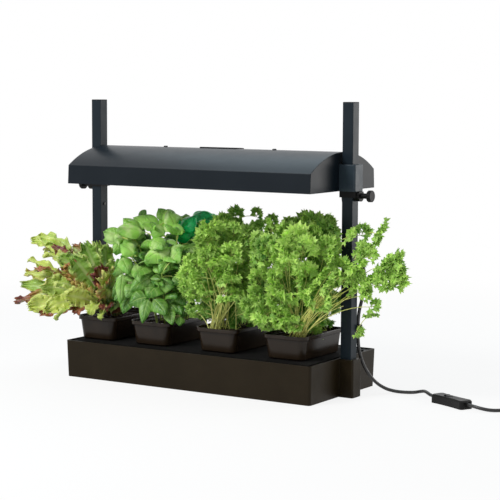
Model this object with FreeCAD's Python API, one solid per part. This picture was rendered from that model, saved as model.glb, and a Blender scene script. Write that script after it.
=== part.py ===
import FreeCAD, Part
import math
import os

os.makedirs("parts", exist_ok=True)

# A countertop growing garden: a water tray with a platform and a wicking mat, four planted pots,
# two posts in sockets at the tray's ends, and a lamp hood that slides on the posts.
# Millimetres. X runs along the tray, Y to the back and Z up. The origin is on the table, at the
# middle of the tray's foot.

# Water tray
TRAY_LENGTH = 620.0
TRAY_DEPTH = 275.0
TRAY_HEIGHT = 80.0
TRAY_LEAN = 2.2
TRAY_CORNER = 6.0
TRAY_WALL = 3.0
TRAY_FLOOR = 3.0
SOCKET_OUTER_WALL = 7.75
SOCKET_SIDE_WALL = 5.05
SOCKET_CORNER = 4.0
SOCKET_DROP = 1.6
SOCKET_INNER_WALL = 3.0

# Posts
POST_WIDTH = 24.4
POST_DEPTH = 25.4
POST_WALL = 1.6
POST_CORNER = 1.2
POST_TOP = 602.0
POST_OUTSET = 10.5
POST_CLEARANCE = 0.25
CAP_THICK = 2.0
CAP_SHANK = 16.0
CAP_CLEARANCE = 0.15

# Platform and mat
PLATFORM_THICK = 2.5
PLATFORM_GAP = 1.0
PLATFORM_TOP_BELOW_RIM = 2.5
LEG_DIAMETER = 14.0
LEG_COLUMNS = (-225.0, -75.0, 75.0, 225.0)
LEG_ROW = 80.0
RIB_THICK = 2.0
RIB_DROP = 10.0
RIB_ROWS = (-105.0, 95.0)
FILL_NOTCH_WIDTH = 60.0
FILL_NOTCH_DEPTH = 22.0
MAT_THICK = 3.0
MAT_MARGIN_X = 6.0
MAT_MARGIN_FRONT = 5.0
MAT_MARGIN_BACK = 27.0
WICK_WIDTH = 96.0
WICK_END_GAP = 19.05
WICK_FLOOR_GAP = 3.0
WICK_SLOT_SLACK = 1.5

# Pots. The room that they leave between the posts is divided as these gaps are, from left to right
POT_GAPS = (2.3, 40.0, 66.0, 62.0, 30.3)
POT_CENTRE_Y = -22.0
POT_RIM_WIDTH = 104.0
POT_RIM_DEPTH = 172.0
POT_RIM_BAND = 8.0
POT_RIM_LIP = 3.5
POT_HEIGHT = 51.0
POT_LEAN = 5.0
POT_WALL = 1.6
POT_CORNER = 18.0
POT_REST_GAP = 0.3
POT_FOOT_BAND = 3.0
POT_FOOT_INSET = 3.0
POT_DRAIN = 6.0
POT_TRAVEL = 110.0
SOIL_BELOW_RIM = 8.0

# Hood
HOOD_END_GAP = 4.0
HOOD_DEPTH = 267.2
HOOD_FOOT = 423.3
HOOD_SKIRT = 39.7
HOOD_LEAN = 2.3
HOOD_RISE = 39.5
HOOD_WALL = 2.5
SLEEVE_WALL = 4.9
SLEEVE_HEIGHT = 54.7
SLEEVE_REACH = 8.3
SLEEVE_CORNER = 4.0
SLEEVE_CHAMFER = 1.2
SLIDE_CLEARANCE = 0.4
COLLAR_WALL = 2.9
COLLAR_HEIGHT = 12.3
BOSS_RADIUS = 11.5
BOSS_REACH = 5.5
SLIDE_DOWN = 36.0
SLIDE_UP = 120.0
LIMIT_GAP = 0.3
STOP_HEAD_RADIUS = 3.2
STOP_HEAD_THICK = 2.6
STOP_SHANK_RADIUS = 1.5

# Clamp screws
SCREW_RADIUS = 3.0
SCREW_THREAD_GAP = 0.05
SCREW_TIP_GAP = 0.3
SCREW_BELOW_HOOD = 8.8
KNOB_RADIUS = 12.0
KNOB_THICK = 9.0
KNOB_FLUTES = 12
KNOB_FLUTE_RADIUS = 2.0
KNOB_NECK_RADIUS = 5.5
KNOB_NECK = 16.0
KNOB_NECK_GAP = 0.4

# Lamp
BATTEN_END_GAP = 13.8
BATTEN_WIDTH = 36.0
BATTEN_HEIGHT = 24.0
BATTEN_WALL = 0.8
BATTEN_LIP = 6.0
BATTEN_BELOW_HOOD = 6.0
TUBE_RADIUS = 8.0
TUBE_WALL = 0.8
TUBE_CAP_RADIUS = 8.5
TUBE_CAP_LENGTH = 12.0
TUBE_PIN_RADIUS = 1.15
TUBE_PIN_LENGTH = 7.1
TUBE_PIN_SPACING = 4.75
TUBE_BELOW_BATTEN = 13.0
HOLDER_THICK = 11.8
HOLDER_WIDTH = 18.0
HOLDER_END_GAP = 0.5
HOLDER_INSET = 0.4
REFLECTOR_THICK = 1.0
REFLECTOR_END_GAP = 6.5
RIVET_END_GAP = 48.0
REFLECTOR_HALF_WIDTH = 104.0
REFLECTOR_DROP = 13.0
CLIP_X = 139.0
CLIP_LENGTH = 30.0
CLIP_THICK = 1.5
CLIP_SIDE = 17.0
CLIP_BOSS_RADIUS = 6.0
FIXTURE_SCREW_RADIUS = 2.0
FIXTURE_HEAD_RADIUS = 4.5
FIXTURE_HEAD_HEIGHT = 2.6
SCREW_HOLE_SLACK = 0.1
VENT_HALF_LENGTH = 47.0
VENT_FRONT = -4.0
VENT_BACK = 26.0
VENT_THICK = 2.2
VENT_SLOTS = 7
VENT_SLOT_WIDTH = 5.0
VENT_SLOT_MARGIN = 6.0
BOX_LENGTH = 25.0
BOX_DEPTH = 25.0
BOX_HEIGHT = 37.0
BOX_END_GAP = 3.3
GLAND_TOP_RADIUS = 6.5
GLAND_FOOT_RADIUS = 4.8
GLAND_LENGTH = 25.0

# Supply cord
CORD_RADIUS = 3.5
CORD_CLIP_Z = 142.0
CORD_CLIP_WIDTH = 16.0
CORD_CLIP_HEIGHT = 12.0
CORD_CLIP_REACH = 13.0
CORD_CLIP_HOLE_GAP = 0.3
CLIPPED_X = 331.0
CLIPPED_Y = 20.2

# In-line switch, in its own frame: its length along the cord, its width across
SWITCH_CENTRE = (540.2, 30.4)
SWITCH_TURN = -25.0
SWITCH_LENGTH = 96.0
SWITCH_END_WIDTH = 31.0
SWITCH_WAIST = 26.6
SWITCH_CORNER = 6.0
SWITCH_SPLIT = 9.6
SWITCH_SHOULDER = 14.6
SWITCH_TOP = 17.6
SWITCH_WALL = 1.8
SWITCH_CORD_Z = 9.6
SWITCH_RELIEF_RADIUS = 5.0
SWITCH_RELIEF_INSIDE = 7.0
SWITCH_RELIEF_OUT = 3.0
SWITCH_SCREW_EDGE = 4.7
SWITCH_SCREW_END = 12.0
SWITCH_SCREW_MIDDLE = 30.0
ROCKER_PLACE = -10.0
ROCKER_RADIUS = 11.4
ROCKER_WIDTH = 11.0
ROCKER_PIVOT_Z = 9.6
ROCKER_GAP = 0.4
ROCKER_TILT = 8.0
ROCKER_BELOW_PIVOT = 2.5
ROCKER_ROOM_BELOW = 7.4
ROCKER_DIP_RADIUS = 24.0
ROCKER_DIP_ABOVE_COVER = 1.2

# Coil of the cord that is put away, and its plug
COIL_CENTRE = (719.0, 24.0)
COIL_START_ANGLE = 135.0
COIL_OUTER = 47.5
COIL_PITCH = 7.6
COIL_TURNS_PER_LAYER = 2.25
COIL_CLIMB_DRAW = 1.8
COIL_REST = 4.9
TIE_THICK = 1.0
TIE_WIDTH = 8.0
TIE_GAP = 0.4
TIE_ANGLE = 180.0
PLUG_DROP = 42.0
PLUG_SLEEVE = 24.0
PLUG_LENGTH = 34.0
PLUG_WIDTH = 26.0
PLUG_HEIGHT = 14.0
PLUG_CORNER = 4.0
PIN_RADIUS = 2.0
PIN_LENGTH = 19.0
PIN_SPACING = 19.0
PIN_SEAT = 6.0

# Foliage. Each clump is a stack of scaled outlines over its own pot, and neighbours share out the
# room between their pots' middles in these parts, each keeping half the lane gap clear
NECK_GAP = 0.5
NECK_ABOVE_RIM = 1.5
LANE_SPLITS = (49.0 / 144.0, 75.5 / 170.0, 61.0 / 166.0)

# Sizes that follow
HALF_TRAY = TRAY_LENGTH / 2
POST_X = HALF_TRAY + POST_OUTSET
POST_INNER_X = POST_X - POST_WIDTH / 2
POST_OUTER_X = POST_X + POST_WIDTH / 2
SOCKET_OUTER_X = POST_OUTER_X + POST_CLEARANCE + SOCKET_OUTER_WALL
SOCKET_DEPTH = POST_DEPTH + 2 * (POST_CLEARANCE + SOCKET_SIDE_WALL)
SOCKET_TOP = TRAY_HEIGHT - SOCKET_DROP
SOCKET_INNER_X = POST_INNER_X - POST_CLEARANCE - SOCKET_INNER_WALL
PLATFORM_TOP = TRAY_HEIGHT - PLATFORM_TOP_BELOW_RIM
PLATFORM_FOOT = PLATFORM_TOP - PLATFORM_THICK
PLATFORM_HALF_X = SOCKET_INNER_X - PLATFORM_GAP
PLATFORM_HALF_Y = TRAY_DEPTH / 2 - TRAY_WALL - TRAY_LEAN * PLATFORM_TOP_BELOW_RIM / TRAY_HEIGHT - PLATFORM_GAP
WICK_X = PLATFORM_HALF_X - WICK_END_GAP
MAT_TOP = PLATFORM_TOP + MAT_THICK
POT_ROOM = (2 * POST_INNER_X - 4 * POT_RIM_WIDTH) / sum(POT_GAPS)
POT_CENTRES_X = [-POST_INNER_X + POT_ROOM * sum(POT_GAPS[:k + 1]) + (k + 0.5) * POT_RIM_WIDTH for k in range(4)]
LANES_X = [a + (b - a) * part for a, b, part in zip(POT_CENTRES_X, POT_CENTRES_X[1:], LANE_SPLITS)]
POT_FOOT = MAT_TOP + POT_REST_GAP
POT_TOP = POT_FOOT + POT_HEIGHT
SOIL_TOP = POT_TOP - SOIL_BELOW_RIM
HALF_HOOD = POST_INNER_X - HOOD_END_GAP
HOOD_LENGTH = 2 * HALF_HOOD
HOOD_CREASE = HOOD_FOOT + HOOD_SKIRT
HOOD_CREASE_Y = HOOD_DEPTH / 2 - HOOD_LEAN
HOOD_RIDGE = HOOD_CREASE + HOOD_RISE
HOOD_ARC = (HOOD_CREASE_Y ** 2 + HOOD_RISE ** 2) / (2 * HOOD_RISE)
HOOD_ARC_Z = HOOD_RIDGE - HOOD_ARC
SLEEVE_OUTER_X = POST_OUTER_X + SLEEVE_REACH
SLEEVE_TOP = HOOD_FOOT + SLEEVE_HEIGHT
SLEEVE_DEPTH = POST_DEPTH + 2 * (SLIDE_CLEARANCE + SLEEVE_WALL)
COLLAR_DEPTH = POST_DEPTH + 2 * (SLIDE_CLEARANCE + COLLAR_WALL)
COLLAR_FOOT = HOOD_FOOT - COLLAR_HEIGHT
SCREW_Z = HOOD_FOOT - SCREW_BELOW_HOOD
KNOB_START = SLEEVE_OUTER_X + BOSS_REACH + KNOB_NECK_GAP
KNOB_DISC = KNOB_START + KNOB_NECK
BATTEN_LENGTH = HOOD_LENGTH - 2 * (HOOD_WALL + BATTEN_END_GAP)
TUBE_LENGTH = BATTEN_LENGTH - 2 * (BATTEN_WALL + HOLDER_INSET + HOLDER_THICK + HOLDER_END_GAP)
REFLECTOR_LENGTH = TUBE_LENGTH - 2 * REFLECTOR_END_GAP
BATTEN_TOP = HOOD_RIDGE - HOOD_WALL - BATTEN_BELOW_HOOD
BATTEN_FOOT = BATTEN_TOP - BATTEN_HEIGHT
TUBE_Z = BATTEN_FOOT - TUBE_BELOW_BATTEN
STOP_Z = COLLAR_FOOT - SLIDE_DOWN - LIMIT_GAP - STOP_HEAD_RADIUS
GLAND_X = HALF_HOOD - HOOD_WALL - BOX_END_GAP - BOX_LENGTH / 2
GLAND_Y = BATTEN_WIDTH / 2 + BOX_DEPTH / 2
GLAND_TOP = BATTEN_TOP - BOX_HEIGHT - 2 * BATTEN_WALL
GLAND_FOOT = GLAND_TOP - GLAND_LENGTH

V = FreeCAD.Vector
X_AXIS = V(1, 0, 0)
Y_AXIS = V(0, 1, 0)
Z_AXIS = V(0, 0, 1)


def save(name, shape):
    """Write one sub-part, with its solids counted and its shape tested."""
    if not shape.isValid():
        print("NOT VALID", name)
    shape.exportStep("parts/" + name + ".step")
    print(f"{name:22s} solids {len(shape.Solids)}  volume {shape.Volume / 1000:9.2f} cm3")


def mirrored(shape):
    """The same piece for the left end."""
    return shape.mirror(V(0, 0, 0), X_AXIS)


def block(x0, x1, y0, y1, z0, z1):
    return Part.makeBox(x1 - x0, y1 - y0, z1 - z0, V(x0, y0, z0))


def rod(radius, start, length, axis):
    return Part.makeCylinder(radius, length, start, axis)


def outline(points):
    """A closed wire through straight edges."""
    ends = [V(*p) for p in points]
    return Part.makePolygon(ends + ends[:1])


def rounded(half_x, half_y, radius, z, centre=(0.0, 0.0)):
    """A rectangle with round corners, lying flat at height z."""
    cx, cy = centre
    edges = []
    corners = ((1, -1, -90), (1, 1, 0), (-1, 1, 90), (-1, -1, 180))
    arcs = []
    for sx, sy, start in corners:
        ox = cx + sx * (half_x - radius)
        oy = cy + sy * (half_y - radius)
        turn = [math.radians(start + part) for part in (0, 45, 90)]
        arcs.append([V(ox + radius * math.cos(a), oy + radius * math.sin(a), z) for a in turn])
    for number, arc in enumerate(arcs):
        edges.append(Part.Arc(*arc).toShape())
        edges.append(Part.LineSegment(arc[2], arcs[(number + 1) % 4][0]).toShape())
    return Part.Wire(edges)


def prism(wire, height, direction=Z_AXIS):
    return Part.Face(wire).extrude(direction * height)


def ruled(wires):
    return Part.makeLoft(wires, True, True)


def cut_all(shape, tools):
    for tool in tools:
        shape = shape.cut(tool)
    return shape


def fuse_all(shapes):
    whole = shapes[0]
    for shape in shapes[1:]:
        whole = whole.fuse(shape)
    return whole.removeSplitter()


def placed(shape, centre, turn):
    """A piece made in its own frame, turned about Z and set down on the table."""
    moved = shape.copy()
    moved.rotate(V(0, 0, 0), Z_AXIS, turn)
    moved.translate(V(centre[0], centre[1], 0))
    return moved


def arc_between(start, control, end):
    """The round arc from start to end that is tangent to the lines to their shared control point."""
    first = (control - start).normalize()
    second = (end - control).normalize()
    weight = math.cos(first.getAngle(second) / 2)
    middle = (start + control * (2 * weight) + end) * (1 / (2 + 2 * weight))
    return Part.Arc(start, middle, end).toShape()


def cord_path(name, route):
    """Straight runs joined by tangent arcs, each as large as its two runs allow."""
    points = [V(*p) for p in route]
    edges = []
    radii = []
    last = points[0]
    for before, corner, after in zip(points, points[1:], points[2:]):
        into = (corner - before).normalize()
        out = (after - corner).normalize()
        reach = 0.45 * min(corner.distanceToPoint(before), after.distanceToPoint(corner))
        radii.append(reach / math.tan(into.getAngle(out) / 2))
        start = corner - into * reach
        end = corner + out * reach
        edges.append(Part.LineSegment(last, start).toShape())
        edges.append(arc_between(start, corner, end))
        last = end
    edges.append(Part.LineSegment(last, points[-1]).toShape())
    wire = Part.Wire(edges)
    print(f"{name}: length {wire.Length:.1f}, tightest radii {[round(r) for r in sorted(radii)[:3]]}")
    return wire


def tube(name, wire, radius):
    """A round tube along a smooth wire, with its volume compared with section times length."""
    start = wire.Edges[0].valueAt(wire.Edges[0].FirstParameter)
    along = wire.Edges[0].tangentAt(wire.Edges[0].FirstParameter)
    ring = Part.Wire([Part.Circle(start, along, radius).toShape()])
    shell = Part.BRepOffsetAPI.MakePipeShell(wire)
    shell.add(ring)
    shell.build()
    shell.makeSolid()
    solid = shell.shape()
    ideal = math.pi * radius ** 2 * wire.Length
    print(f"{name}: tube volume over section times length {solid.Volume / ideal:.4f}")
    return solid


def biarc(start, start_way, end, end_way):
    """Two arcs that join two points smoothly, each leaving along its own direction."""
    span = end - start
    both = start_way + end_way
    a = 2 * (start_way.dot(end_way) - 1)
    b = -2 * span.dot(both)
    c = span.dot(span)
    if abs(a) < 1e-9:
        reach = -c / b
    else:
        reach = (-b - math.sqrt(b * b - 4 * a * c)) / (2 * a)
    first = start + start_way * reach
    second = end - end_way * reach
    middle = (first + second) * 0.5
    return [arc_between(start, first, middle), arc_between(middle, second, end)]


# Tray: a drawn box that leans out a little, with a square socket moulded on each end for a post
foot = rounded(HALF_TRAY - TRAY_LEAN, TRAY_DEPTH / 2 - TRAY_LEAN, TRAY_CORNER, 0)
rim = rounded(HALF_TRAY, TRAY_DEPTH / 2, TRAY_CORNER, TRAY_HEIGHT)
tray = ruled([foot, rim])
inner_lean = TRAY_LEAN * (1 - TRAY_FLOOR / TRAY_HEIGHT)
inner_foot = rounded(HALF_TRAY - TRAY_WALL - inner_lean, TRAY_DEPTH / 2 - TRAY_WALL - inner_lean,
                     TRAY_CORNER - TRAY_WALL, TRAY_FLOOR)
inner_rim = rounded(HALF_TRAY - TRAY_WALL, TRAY_DEPTH / 2 - TRAY_WALL, TRAY_CORNER - TRAY_WALL, TRAY_HEIGHT)
water = ruled([inner_foot, inner_rim])
socket_wall_y = SOCKET_DEPTH / 2 - TRAY_WALL
socket = prism(rounded((SOCKET_OUTER_X - SOCKET_INNER_X) / 2, SOCKET_DEPTH / 2, SOCKET_CORNER, 0,
                       ((SOCKET_OUTER_X + SOCKET_INNER_X) / 2, 0)), SOCKET_TOP)
sockets = [socket, mirrored(socket)]
tray = fuse_all([tray.cut(water)] + sockets)
post_hole = block(POST_INNER_X - POST_CLEARANCE, POST_OUTER_X + POST_CLEARANCE,
                  -POST_DEPTH / 2 - POST_CLEARANCE, POST_DEPTH / 2 + POST_CLEARANCE, TRAY_FLOOR, TRAY_HEIGHT + 1)
tray = cut_all(tray, [post_hole, mirrored(post_hole)])
save("reservoir_tray", tray)

# Platform: a plate on legs that stands in the water, with a notch at the back to fill the tray
plate = prism(rounded(PLATFORM_HALF_X, PLATFORM_HALF_Y, TRAY_CORNER, PLATFORM_FOOT), PLATFORM_THICK)
legs = [rod(LEG_DIAMETER / 2, V(x, side * LEG_ROW, TRAY_FLOOR), PLATFORM_FOOT - TRAY_FLOOR, Z_AXIS)
        for x in LEG_COLUMNS for side in (-1, 1)]
rib_half = PLATFORM_HALF_X - 3 * PLATFORM_GAP
ribs = [block(-rib_half, rib_half, y - RIB_THICK / 2, y + RIB_THICK / 2, PLATFORM_FOOT - RIB_DROP, PLATFORM_FOOT)
        for y in RIB_ROWS]
platform = fuse_all([plate] + legs + ribs)
slot_half = MAT_THICK / 2 + WICK_SLOT_SLACK
wick_slots = [block(side * WICK_X - slot_half, side * WICK_X + slot_half, -WICK_WIDTH / 2 - WICK_SLOT_SLACK,
                    WICK_WIDTH / 2 + WICK_SLOT_SLACK, PLATFORM_FOOT - 1, PLATFORM_TOP + 1) for side in (-1, 1)]
notch = block(-FILL_NOTCH_WIDTH / 2, FILL_NOTCH_WIDTH / 2, PLATFORM_HALF_Y - FILL_NOTCH_DEPTH, PLATFORM_HALF_Y + 1,
              PLATFORM_FOOT - RIB_DROP - 1, PLATFORM_TOP + 1)
save("growing_platform", cut_all(platform, wick_slots + [notch]))

# Mat: felt over the platform, with a wick at each end that hangs through its slot into the water
mat_half_x = PLATFORM_HALF_X - MAT_MARGIN_X
felt = block(-mat_half_x, mat_half_x, -PLATFORM_HALF_Y + MAT_MARGIN_FRONT, PLATFORM_HALF_Y - MAT_MARGIN_BACK,
             PLATFORM_TOP, MAT_TOP)
wicks = [block(side * WICK_X - MAT_THICK / 2, side * WICK_X + MAT_THICK / 2, -WICK_WIDTH / 2, WICK_WIDTH / 2,
               TRAY_FLOOR + WICK_FLOOR_GAP, PLATFORM_TOP) for side in (-1, 1)]
save("capillary_mat", fuse_all([felt] + wicks))

# Posts: square tube that stands on the socket's floor
post_half = (POST_WIDTH / 2, POST_DEPTH / 2)
bore_half = (post_half[0] - POST_WALL, post_half[1] - POST_WALL)
post_centre = (POST_X, 0.0)
post = prism(rounded(*post_half, POST_CORNER, TRAY_FLOOR, post_centre), POST_TOP - TRAY_FLOOR)
bore = block(POST_X - bore_half[0], POST_X + bore_half[0], -bore_half[1], bore_half[1], TRAY_FLOOR - 1, POST_TOP + 1)
stop_axis = V(POST_INNER_X - STOP_HEAD_THICK, 0, STOP_Z)
stop_shank = rod(STOP_SHANK_RADIUS, stop_axis, STOP_HEAD_THICK + POST_WALL + 2.0, X_AXIS)
post = cut_all(post, [bore, stop_shank])
save("right_post", post)
save("left_post", mirrored(post))

# Post caps: a plate with a shank that plugs the tube
cap = prism(rounded(*post_half, POST_CORNER, POST_TOP, post_centre), CAP_THICK)
cap = cap.makeChamfer(0.8, [e for e in cap.Edges if e.BoundBox.ZMin > POST_TOP + CAP_THICK - 0.01])
shank = block(POST_X - bore_half[0] + CAP_CLEARANCE, POST_X + bore_half[0] - CAP_CLEARANCE,
              -bore_half[1] + CAP_CLEARANCE, bore_half[1] - CAP_CLEARANCE, POST_TOP - CAP_SHANK, POST_TOP)
cap = fuse_all([cap, shank])
save("right_post_cap", cap)
save("left_post_cap", mirrored(cap))

# Stop screws: small round heads on the posts' inner faces, which the hood comes down to
stop = fuse_all([rod(STOP_HEAD_RADIUS, stop_axis, STOP_HEAD_THICK, X_AXIS), stop_shank])
save("right_stop_screw", stop)
save("left_stop_screw", mirrored(stop))


def hood_profile(inset, foot):
    """Half-round roof on two upright skirts, across the hood at x = 0."""
    half_foot = HOOD_DEPTH / 2 - inset
    half_crease = HOOD_CREASE_Y - inset
    radius = HOOD_ARC - inset
    crease = HOOD_ARC_Z + math.sqrt(radius ** 2 - half_crease ** 2)
    roof = Part.Arc(V(0, -half_crease, crease), V(0, 0, HOOD_ARC_Z + radius), V(0, half_crease, crease))
    runs = [V(0, half_crease, crease), V(0, half_foot, foot), V(0, -half_foot, foot), V(0, -half_crease, crease)]
    return Part.Wire([roof.toShape()] + [Part.LineSegment(a, b).toShape() for a, b in zip(runs, runs[1:])])


# Hood: one moulded shell with a curved roof, upright skirts and flat ends
hood = prism(hood_profile(0.0, HOOD_FOOT), HOOD_LENGTH, X_AXIS)
hood.translate(V(-HALF_HOOD, 0, 0))
hollow = prism(hood_profile(HOOD_WALL, HOOD_FOOT - 1), HOOD_LENGTH - 2 * HOOD_WALL, X_AXIS)
hollow.translate(V(-HALF_HOOD + HOOD_WALL, 0, 0))
hood = hood.cut(hollow)
vent_pitch = 2 * (VENT_HALF_LENGTH - VENT_SLOT_MARGIN) / VENT_SLOTS
vent_slots = [block(x - VENT_SLOT_WIDTH / 2, x + VENT_SLOT_WIDTH / 2, VENT_FRONT + VENT_SLOT_MARGIN,
                    VENT_BACK - VENT_SLOT_MARGIN, HOOD_RIDGE - 3 * HOOD_WALL, HOOD_RIDGE + 3 * VENT_THICK)
              for x in [(k - (VENT_SLOTS - 1) / 2) * vent_pitch for k in range(VENT_SLOTS)]]
roof_holes = [rod(FIXTURE_SCREW_RADIUS + SCREW_HOLE_SLACK, V(side * CLIP_X, 0, BATTEN_FOOT), 2 * BATTEN_HEIGHT, Z_AXIS)
              for side in (-1, 1)]
side_screw_y = (SLEEVE_DEPTH + POST_DEPTH) / 4 + SLIDE_CLEARANCE / 2
side_screw_heights = (HOOD_FOOT + 12.0, SLEEVE_TOP - 12.0)
side_screw_depth = POST_INNER_X - SLIDE_CLEARANCE - HALF_HOOD
side_shanks = [rod(1.2, V(HALF_HOOD - HOOD_WALL, side * side_screw_y, z), HOOD_WALL + side_screw_depth + 9.0, X_AXIS)
               for side in (-1, 1) for z in side_screw_heights]
hood = cut_all(hood, vent_slots + roof_holes + side_shanks + [mirrored(s) for s in side_shanks])
save("hood_shell", hood)

# Vent cover: a thin curved strip on the ridge over the warm air slots
ring_out = rod(HOOD_ARC + VENT_THICK, V(-VENT_HALF_LENGTH, 0, HOOD_ARC_Z), 2 * VENT_HALF_LENGTH, X_AXIS)
ring_in = rod(HOOD_ARC, V(-VENT_HALF_LENGTH - 1, 0, HOOD_ARC_Z), 2 * VENT_HALF_LENGTH + 2, X_AXIS)
strip = block(-VENT_HALF_LENGTH, VENT_HALF_LENGTH, VENT_FRONT, VENT_BACK, HOOD_CREASE, HOOD_RIDGE + 2 * VENT_THICK)
vent = strip.common(ring_out).cut(ring_in)
save("vent_cover", cut_all(vent, vent_slots))


def post_passage(z0, z1):
    """The space that a piece sliding on the post leaves round it."""
    gap = SLIDE_CLEARANCE
    return block(POST_INNER_X - gap, POST_OUTER_X + gap, -POST_DEPTH / 2 - gap, POST_DEPTH / 2 + gap, z0, z1)


def end_block(depth, corner, z0, z1):
    """A block from the hood's end outwards, with its two outer corners rounded."""
    half = depth / 2
    whole = prism(rounded((SLEEVE_OUTER_X - HALF_HOOD) / 2 + corner, half, corner, z0,
                          ((SLEEVE_OUTER_X + HALF_HOOD) / 2 - corner, 0)), z1 - z0)
    return whole.common(block(HALF_HOOD, SLEEVE_OUTER_X + 1, -half - 1, half + 1, z0 - 1, z1 + 1))


# Sleeves: square guides screwed to the hood's ends, which slide on the posts
sleeve = end_block(SLEEVE_DEPTH, SLEEVE_CORNER, HOOD_FOOT, SLEEVE_TOP)
top_edges = [e for e in sleeve.Edges if e.BoundBox.ZMin > SLEEVE_TOP - 0.01 and e.BoundBox.XMax > HALF_HOOD + 0.1]
sleeve = sleeve.makeChamfer(SLEEVE_CHAMFER, top_edges)
sleeve = cut_all(sleeve, [post_passage(HOOD_FOOT - 1, SLEEVE_TOP + 1)] + side_shanks)
save("right_sleeve", sleeve)
save("left_sleeve", mirrored(sleeve))

# Screws that hold the sleeves, with their heads inside the hood
side_heads = [rod(3.0, V(HALF_HOOD - HOOD_WALL - 2.0, side * side_screw_y, z), 2.0, X_AXIS)
              for side in (-1, 1) for z in side_screw_heights]
side_screws = [fuse_all([head, shaft]) for head, shaft in zip(side_heads, side_shanks)]
save("sleeve_screws", Part.makeCompound(side_screws + [mirrored(s) for s in side_screws]))

# Clamp collars: black blocks under the sleeves, with a boss for the thumb screw
collar = end_block(COLLAR_DEPTH, SLEEVE_CORNER, COLLAR_FOOT, HOOD_FOOT)
boss = rod(BOSS_RADIUS, V(POST_OUTER_X + SLIDE_CLEARANCE, 0, SCREW_Z),
           SLEEVE_OUTER_X + BOSS_REACH - POST_OUTER_X - SLIDE_CLEARANCE, X_AXIS)
boss = boss.common(block(HALF_HOOD, KNOB_START, -COLLAR_DEPTH, COLLAR_DEPTH, COLLAR_FOOT - 2 * BOSS_RADIUS, HOOD_FOOT))
thread = rod(SCREW_RADIUS + SCREW_THREAD_GAP, V(POST_X, 0, SCREW_Z), SLEEVE_OUTER_X, X_AXIS)
collar = fuse_all([collar, boss])
collar = cut_all(collar, [post_passage(COLLAR_FOOT - 2 * BOSS_RADIUS, HOOD_FOOT + 1), thread])
save("right_clamp_collar", collar)
save("left_clamp_collar", mirrored(collar))

# Thumb screws: a threaded stud moulded into a fluted knob
stud_start = POST_OUTER_X + SCREW_TIP_GAP
stud_end = KNOB_DISC + KNOB_THICK * 0.6
stud = rod(SCREW_RADIUS, V(stud_start, 0, SCREW_Z), stud_end - stud_start, X_AXIS)
disc = rod(KNOB_RADIUS, V(KNOB_DISC, 0, SCREW_Z), KNOB_THICK, X_AXIS)
disc = disc.makeFillet(1.4, [e for e in disc.Edges if abs(e.BoundBox.XLength) < 0.01])
flutes = []
for k in range(KNOB_FLUTES):
    turn = 2 * math.pi * k / KNOB_FLUTES
    out = KNOB_RADIUS + 0.35 * KNOB_FLUTE_RADIUS
    flutes.append(rod(KNOB_FLUTE_RADIUS, V(KNOB_DISC - 1, out * math.cos(turn), SCREW_Z + out * math.sin(turn)),
                      KNOB_THICK + 2, X_AXIS))
neck = rod(KNOB_NECK_RADIUS, V(KNOB_START, 0, SCREW_Z), KNOB_NECK, X_AXIS)
knob = fuse_all([cut_all(disc, flutes), neck]).cut(stud)
save("right_clamp_knob", knob)
save("left_clamp_knob", mirrored(knob))
save("right_clamp_screw", stud)
save("left_clamp_screw", mirrored(stud))

# Lamp batten: a folded channel that hangs under the roof, with a lip along each lower edge
half_batten = BATTEN_LENGTH / 2
batten = block(-half_batten, half_batten, -BATTEN_WIDTH / 2, BATTEN_WIDTH / 2, BATTEN_FOOT, BATTEN_TOP)
channel = block(-half_batten + BATTEN_WALL, half_batten - BATTEN_WALL, -BATTEN_WIDTH / 2 + BATTEN_WALL,
                BATTEN_WIDTH / 2 - BATTEN_WALL, BATTEN_FOOT + BATTEN_WALL, BATTEN_TOP - BATTEN_WALL)
mouth = block(-half_batten + BATTEN_WALL, half_batten - BATTEN_WALL, -BATTEN_WIDTH / 2 + BATTEN_LIP,
              BATTEN_WIDTH / 2 - BATTEN_LIP, BATTEN_FOOT - 1, BATTEN_TOP - BATTEN_WALL)
rivet_x = REFLECTOR_LENGTH / 2 - RIVET_END_GAP
rivet_places = [(x, side * (BATTEN_WIDTH / 2 - 0.6 * BATTEN_LIP)) for x in (-rivet_x, rivet_x) for side in (-1, 1)]
rivet_shanks = [rod(1.2, V(x, y, BATTEN_FOOT - REFLECTOR_THICK), REFLECTOR_THICK + BATTEN_WALL + 0.8, Z_AXIS)
                for x, y in rivet_places]
save("lamp_batten", cut_all(batten, [channel, mouth] + roof_holes + rivet_shanks))

# Ballast: its board lies under the batten's roof, with a choke, a capacitor and two terminals
board_top = BATTEN_TOP - BATTEN_WALL - 1.5
board = block(-95, 95, -14, 14, board_top - 1.6, board_top)
parts_below = [block(-30, 10, -11, 11, board_top - 17, board_top - 1.6),
               rod(6.0, V(30, 0, board_top - 16), 14.4, Z_AXIS),
               block(-90, -72, -12, 12, board_top - 11, board_top - 1.6),
               block(72, 90, -12, 12, board_top - 11, board_top - 1.6)]
spacers = [rod(2.5, V(x, y, board_top), 1.5, Z_AXIS) for x in (-60, 60) for y in (-10, 10)]
save("ballast_board", fuse_all([board] + parts_below + spacers))

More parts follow.
